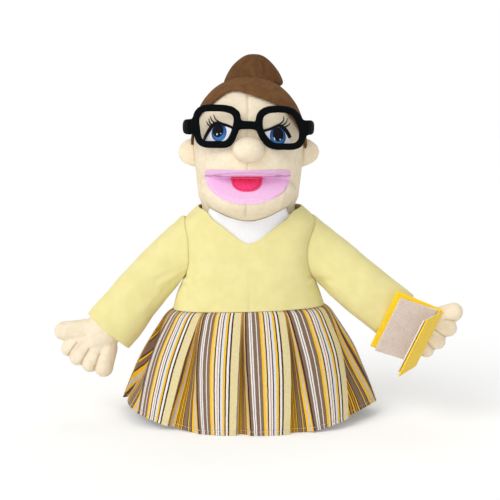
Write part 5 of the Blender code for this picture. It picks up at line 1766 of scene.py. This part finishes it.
@dataclass
class Collar:
    """White cotton bib in the V of the neck."""

    rise: float = 0.011
    corner_z: float = 0.2020

    def build(self, head: Piece) -> None:
        """Make the bib, whose edge comes up to the chin."""
        bib = from_node("shirt_inset", "cotton_bib")
        subdivide(bib, 3)
        self.reach_chin(bib, tree_of(head))
        lumps(bib, 0.012, 0.0003, 17.0)
        dress(bib, "white_cotton", replaces=("shirt_inset",))

    def reach_chin(self, bib: Piece, skin: BVHTree) -> None:
        """Raise the upper edge until it meets the underside of the chin."""
        places = points_of(bib)
        columns = np.round(places[:, 0] / 0.0015).astype(int)
        for column in np.unique(columns):
            own = np.flatnonzero(columns == column)
            top = places[own][places[own][:, 2].argmax()]
            hit = skin.ray_cast(Vector((top[0], top[1], top[2] - 0.001)), Vector((0.0, 0.0, 1.0)), self.rise)
            if hit[0] is not None:
                share = ease((places[own][:, 2] - top[2] + 0.012) / 0.012)
                places[own, 2] += share * max(hit[3] - 0.0016, 0.0)
        wide = ease((np.abs(places[:, 0] + 0.0005) - 0.0365) / 0.004)
        places[:, 2] -= wide * np.maximum(places[:, 2] - self.corner_z, 0.0)
        set_points(bib, places)


# Stage

@dataclass
class Stage:
    """Camera, plain floor and soft studio light."""

    elevation_deg: float = 6.0
    distance: float = 1.150
    target: tuple[float, float, float] = (0.0015, 0.0, 0.1645)
    sensor: float = 36.0
    frame_metres: float = 0.500          # width of the photograph's frame at the target
    world_light: float = 0.55
    lamps: tuple[tuple[str, float, float, float, float], ...] = (   # name, azimuth, elevation, strength, spread
        ("key", -45.0, 38.0, 1.18, 40.0), ("fill", -4.0, 0.0, 0.56, 40.0), ("rim", 165.0, 48.0, 0.30, 40.0))
    bounce_place: tuple[float, float, float] = (-0.12, -1.10, 0.05)
    bounce_watts: float = 2.1
    bounce_size: float = 0.5

    def build(self) -> None:
        """Make the stage."""
        self.camera()
        self.floor()
        self.world()
        for name, azimuth, elevation, strength, spread in self.lamps:
            lamp = bpy.data.lights.new(name, "SUN")
            lamp.energy = strength
            lamp.angle = math.radians(spread)
            thing = add_object(name + "_lamp", lamp)
            a, e = math.radians(azimuth), math.radians(elevation)
            towards = Vector((math.sin(a) * math.cos(e), -math.cos(a) * math.cos(e), math.sin(e)))
            thing.rotation_euler = towards.to_track_quat("Z", "Y").to_euler()
        self.bounce()
        bpy.context.scene.view_settings.view_transform = "Standard"

    def bounce(self) -> None:
        """Low soft light in front, as a white table gives it."""
        lamp = bpy.data.lights.new("bounce", "AREA")
        lamp.shape, lamp.size, lamp.energy = "DISK", self.bounce_size, self.bounce_watts
        thing = add_object("bounce_lamp", lamp)
        thing.location = self.bounce_place
        thing.rotation_euler = (Vector(self.bounce_place) - Vector((0.0, 0.0, 0.23))).to_track_quat("Z", "Y").to_euler()

    def camera(self) -> None:
        """Camera at the photograph's place."""
        data = bpy.data.cameras.new("studio")
        data.sensor_width = self.sensor
        data.lens = self.sensor * self.distance / self.frame_metres
        thing = add_object("studio_camera", data)
        tilt = math.radians(self.elevation_deg)
        thing.location = Vector(self.target) + Vector((0.0, -math.cos(tilt), math.sin(tilt))) * self.distance
        thing.rotation_euler = (math.pi / 2.0 - tilt, 0.0, 0.0)
        bpy.context.scene.camera = thing

    def floor(self) -> None:
        """Wide pale floor that keeps the puppet's shadow."""
        deselect()
        bpy.ops.mesh.primitive_plane_add(size=60.0, location=(0.0, 0.0, -0.0002))
        plane = bpy.context.object
        plane.name = "studio_floor"
        graph = Graph("studio_floor")
        seen = self.seen(graph)
        diffuse = graph.add("ShaderNodeBsdfDiffuse", None, {"Color": (0.94, 0.94, 0.94, 1.0)})
        glow = graph.add("ShaderNodeEmission", None, {"Color": (1.0, 1.0, 1.0, 1.0), "Strength": seen * 0.20})
        graph.add_output(graph.add("ShaderNodeAddShader", None, {0: diffuse, 1: glow}))
        plane.data.materials.append(graph.owner)

    @staticmethod
    def seen(graph: Graph) -> Signal:
        """1 for rays that come from the camera, straight or by gloss or glass."""
        found = None
        for name in ("Is Camera Ray", "Is Glossy Ray", "Is Transmission Ray"):
            ray = graph.add("ShaderNodeLightPath", output=name)
            found = ray if found is None else found.maths("MAXIMUM", ray)
        return found

    def world(self) -> None:
        """White backdrop with an even light of its own level."""
        graph = Graph("studio", "worlds")
        bpy.context.scene.world = graph.owner
        level = self.seen(graph).ramp(0.0, 1.0, self.world_light, 1.0)
        light = graph.add("ShaderNodeBackground", None, {"Color": (1.0, 1.0, 1.0, 1.0), "Strength": level})
        graph.add_output(light, "ShaderNodeOutputWorld")


def main() -> None:
    """Dress the whole puppet."""
    logging.basicConfig(level=logging.INFO, format="%(name)s: %(message)s")
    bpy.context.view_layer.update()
    deselect()
    Stage().build()
    for finish in FINISHES:
        MATERIALS[finish.name] = finish.build()
    Skirt().build()
    top = Bodice().build()
    head = Head().build()
    Collar().build(head)
    Mouth().build(head)
    Hair().build()
    Eyes().build(head)
    Glasses().build()
    for arm in ARMS:
        arm.build(top)
    Book().build()


if __name__ == "__main__":
    main()
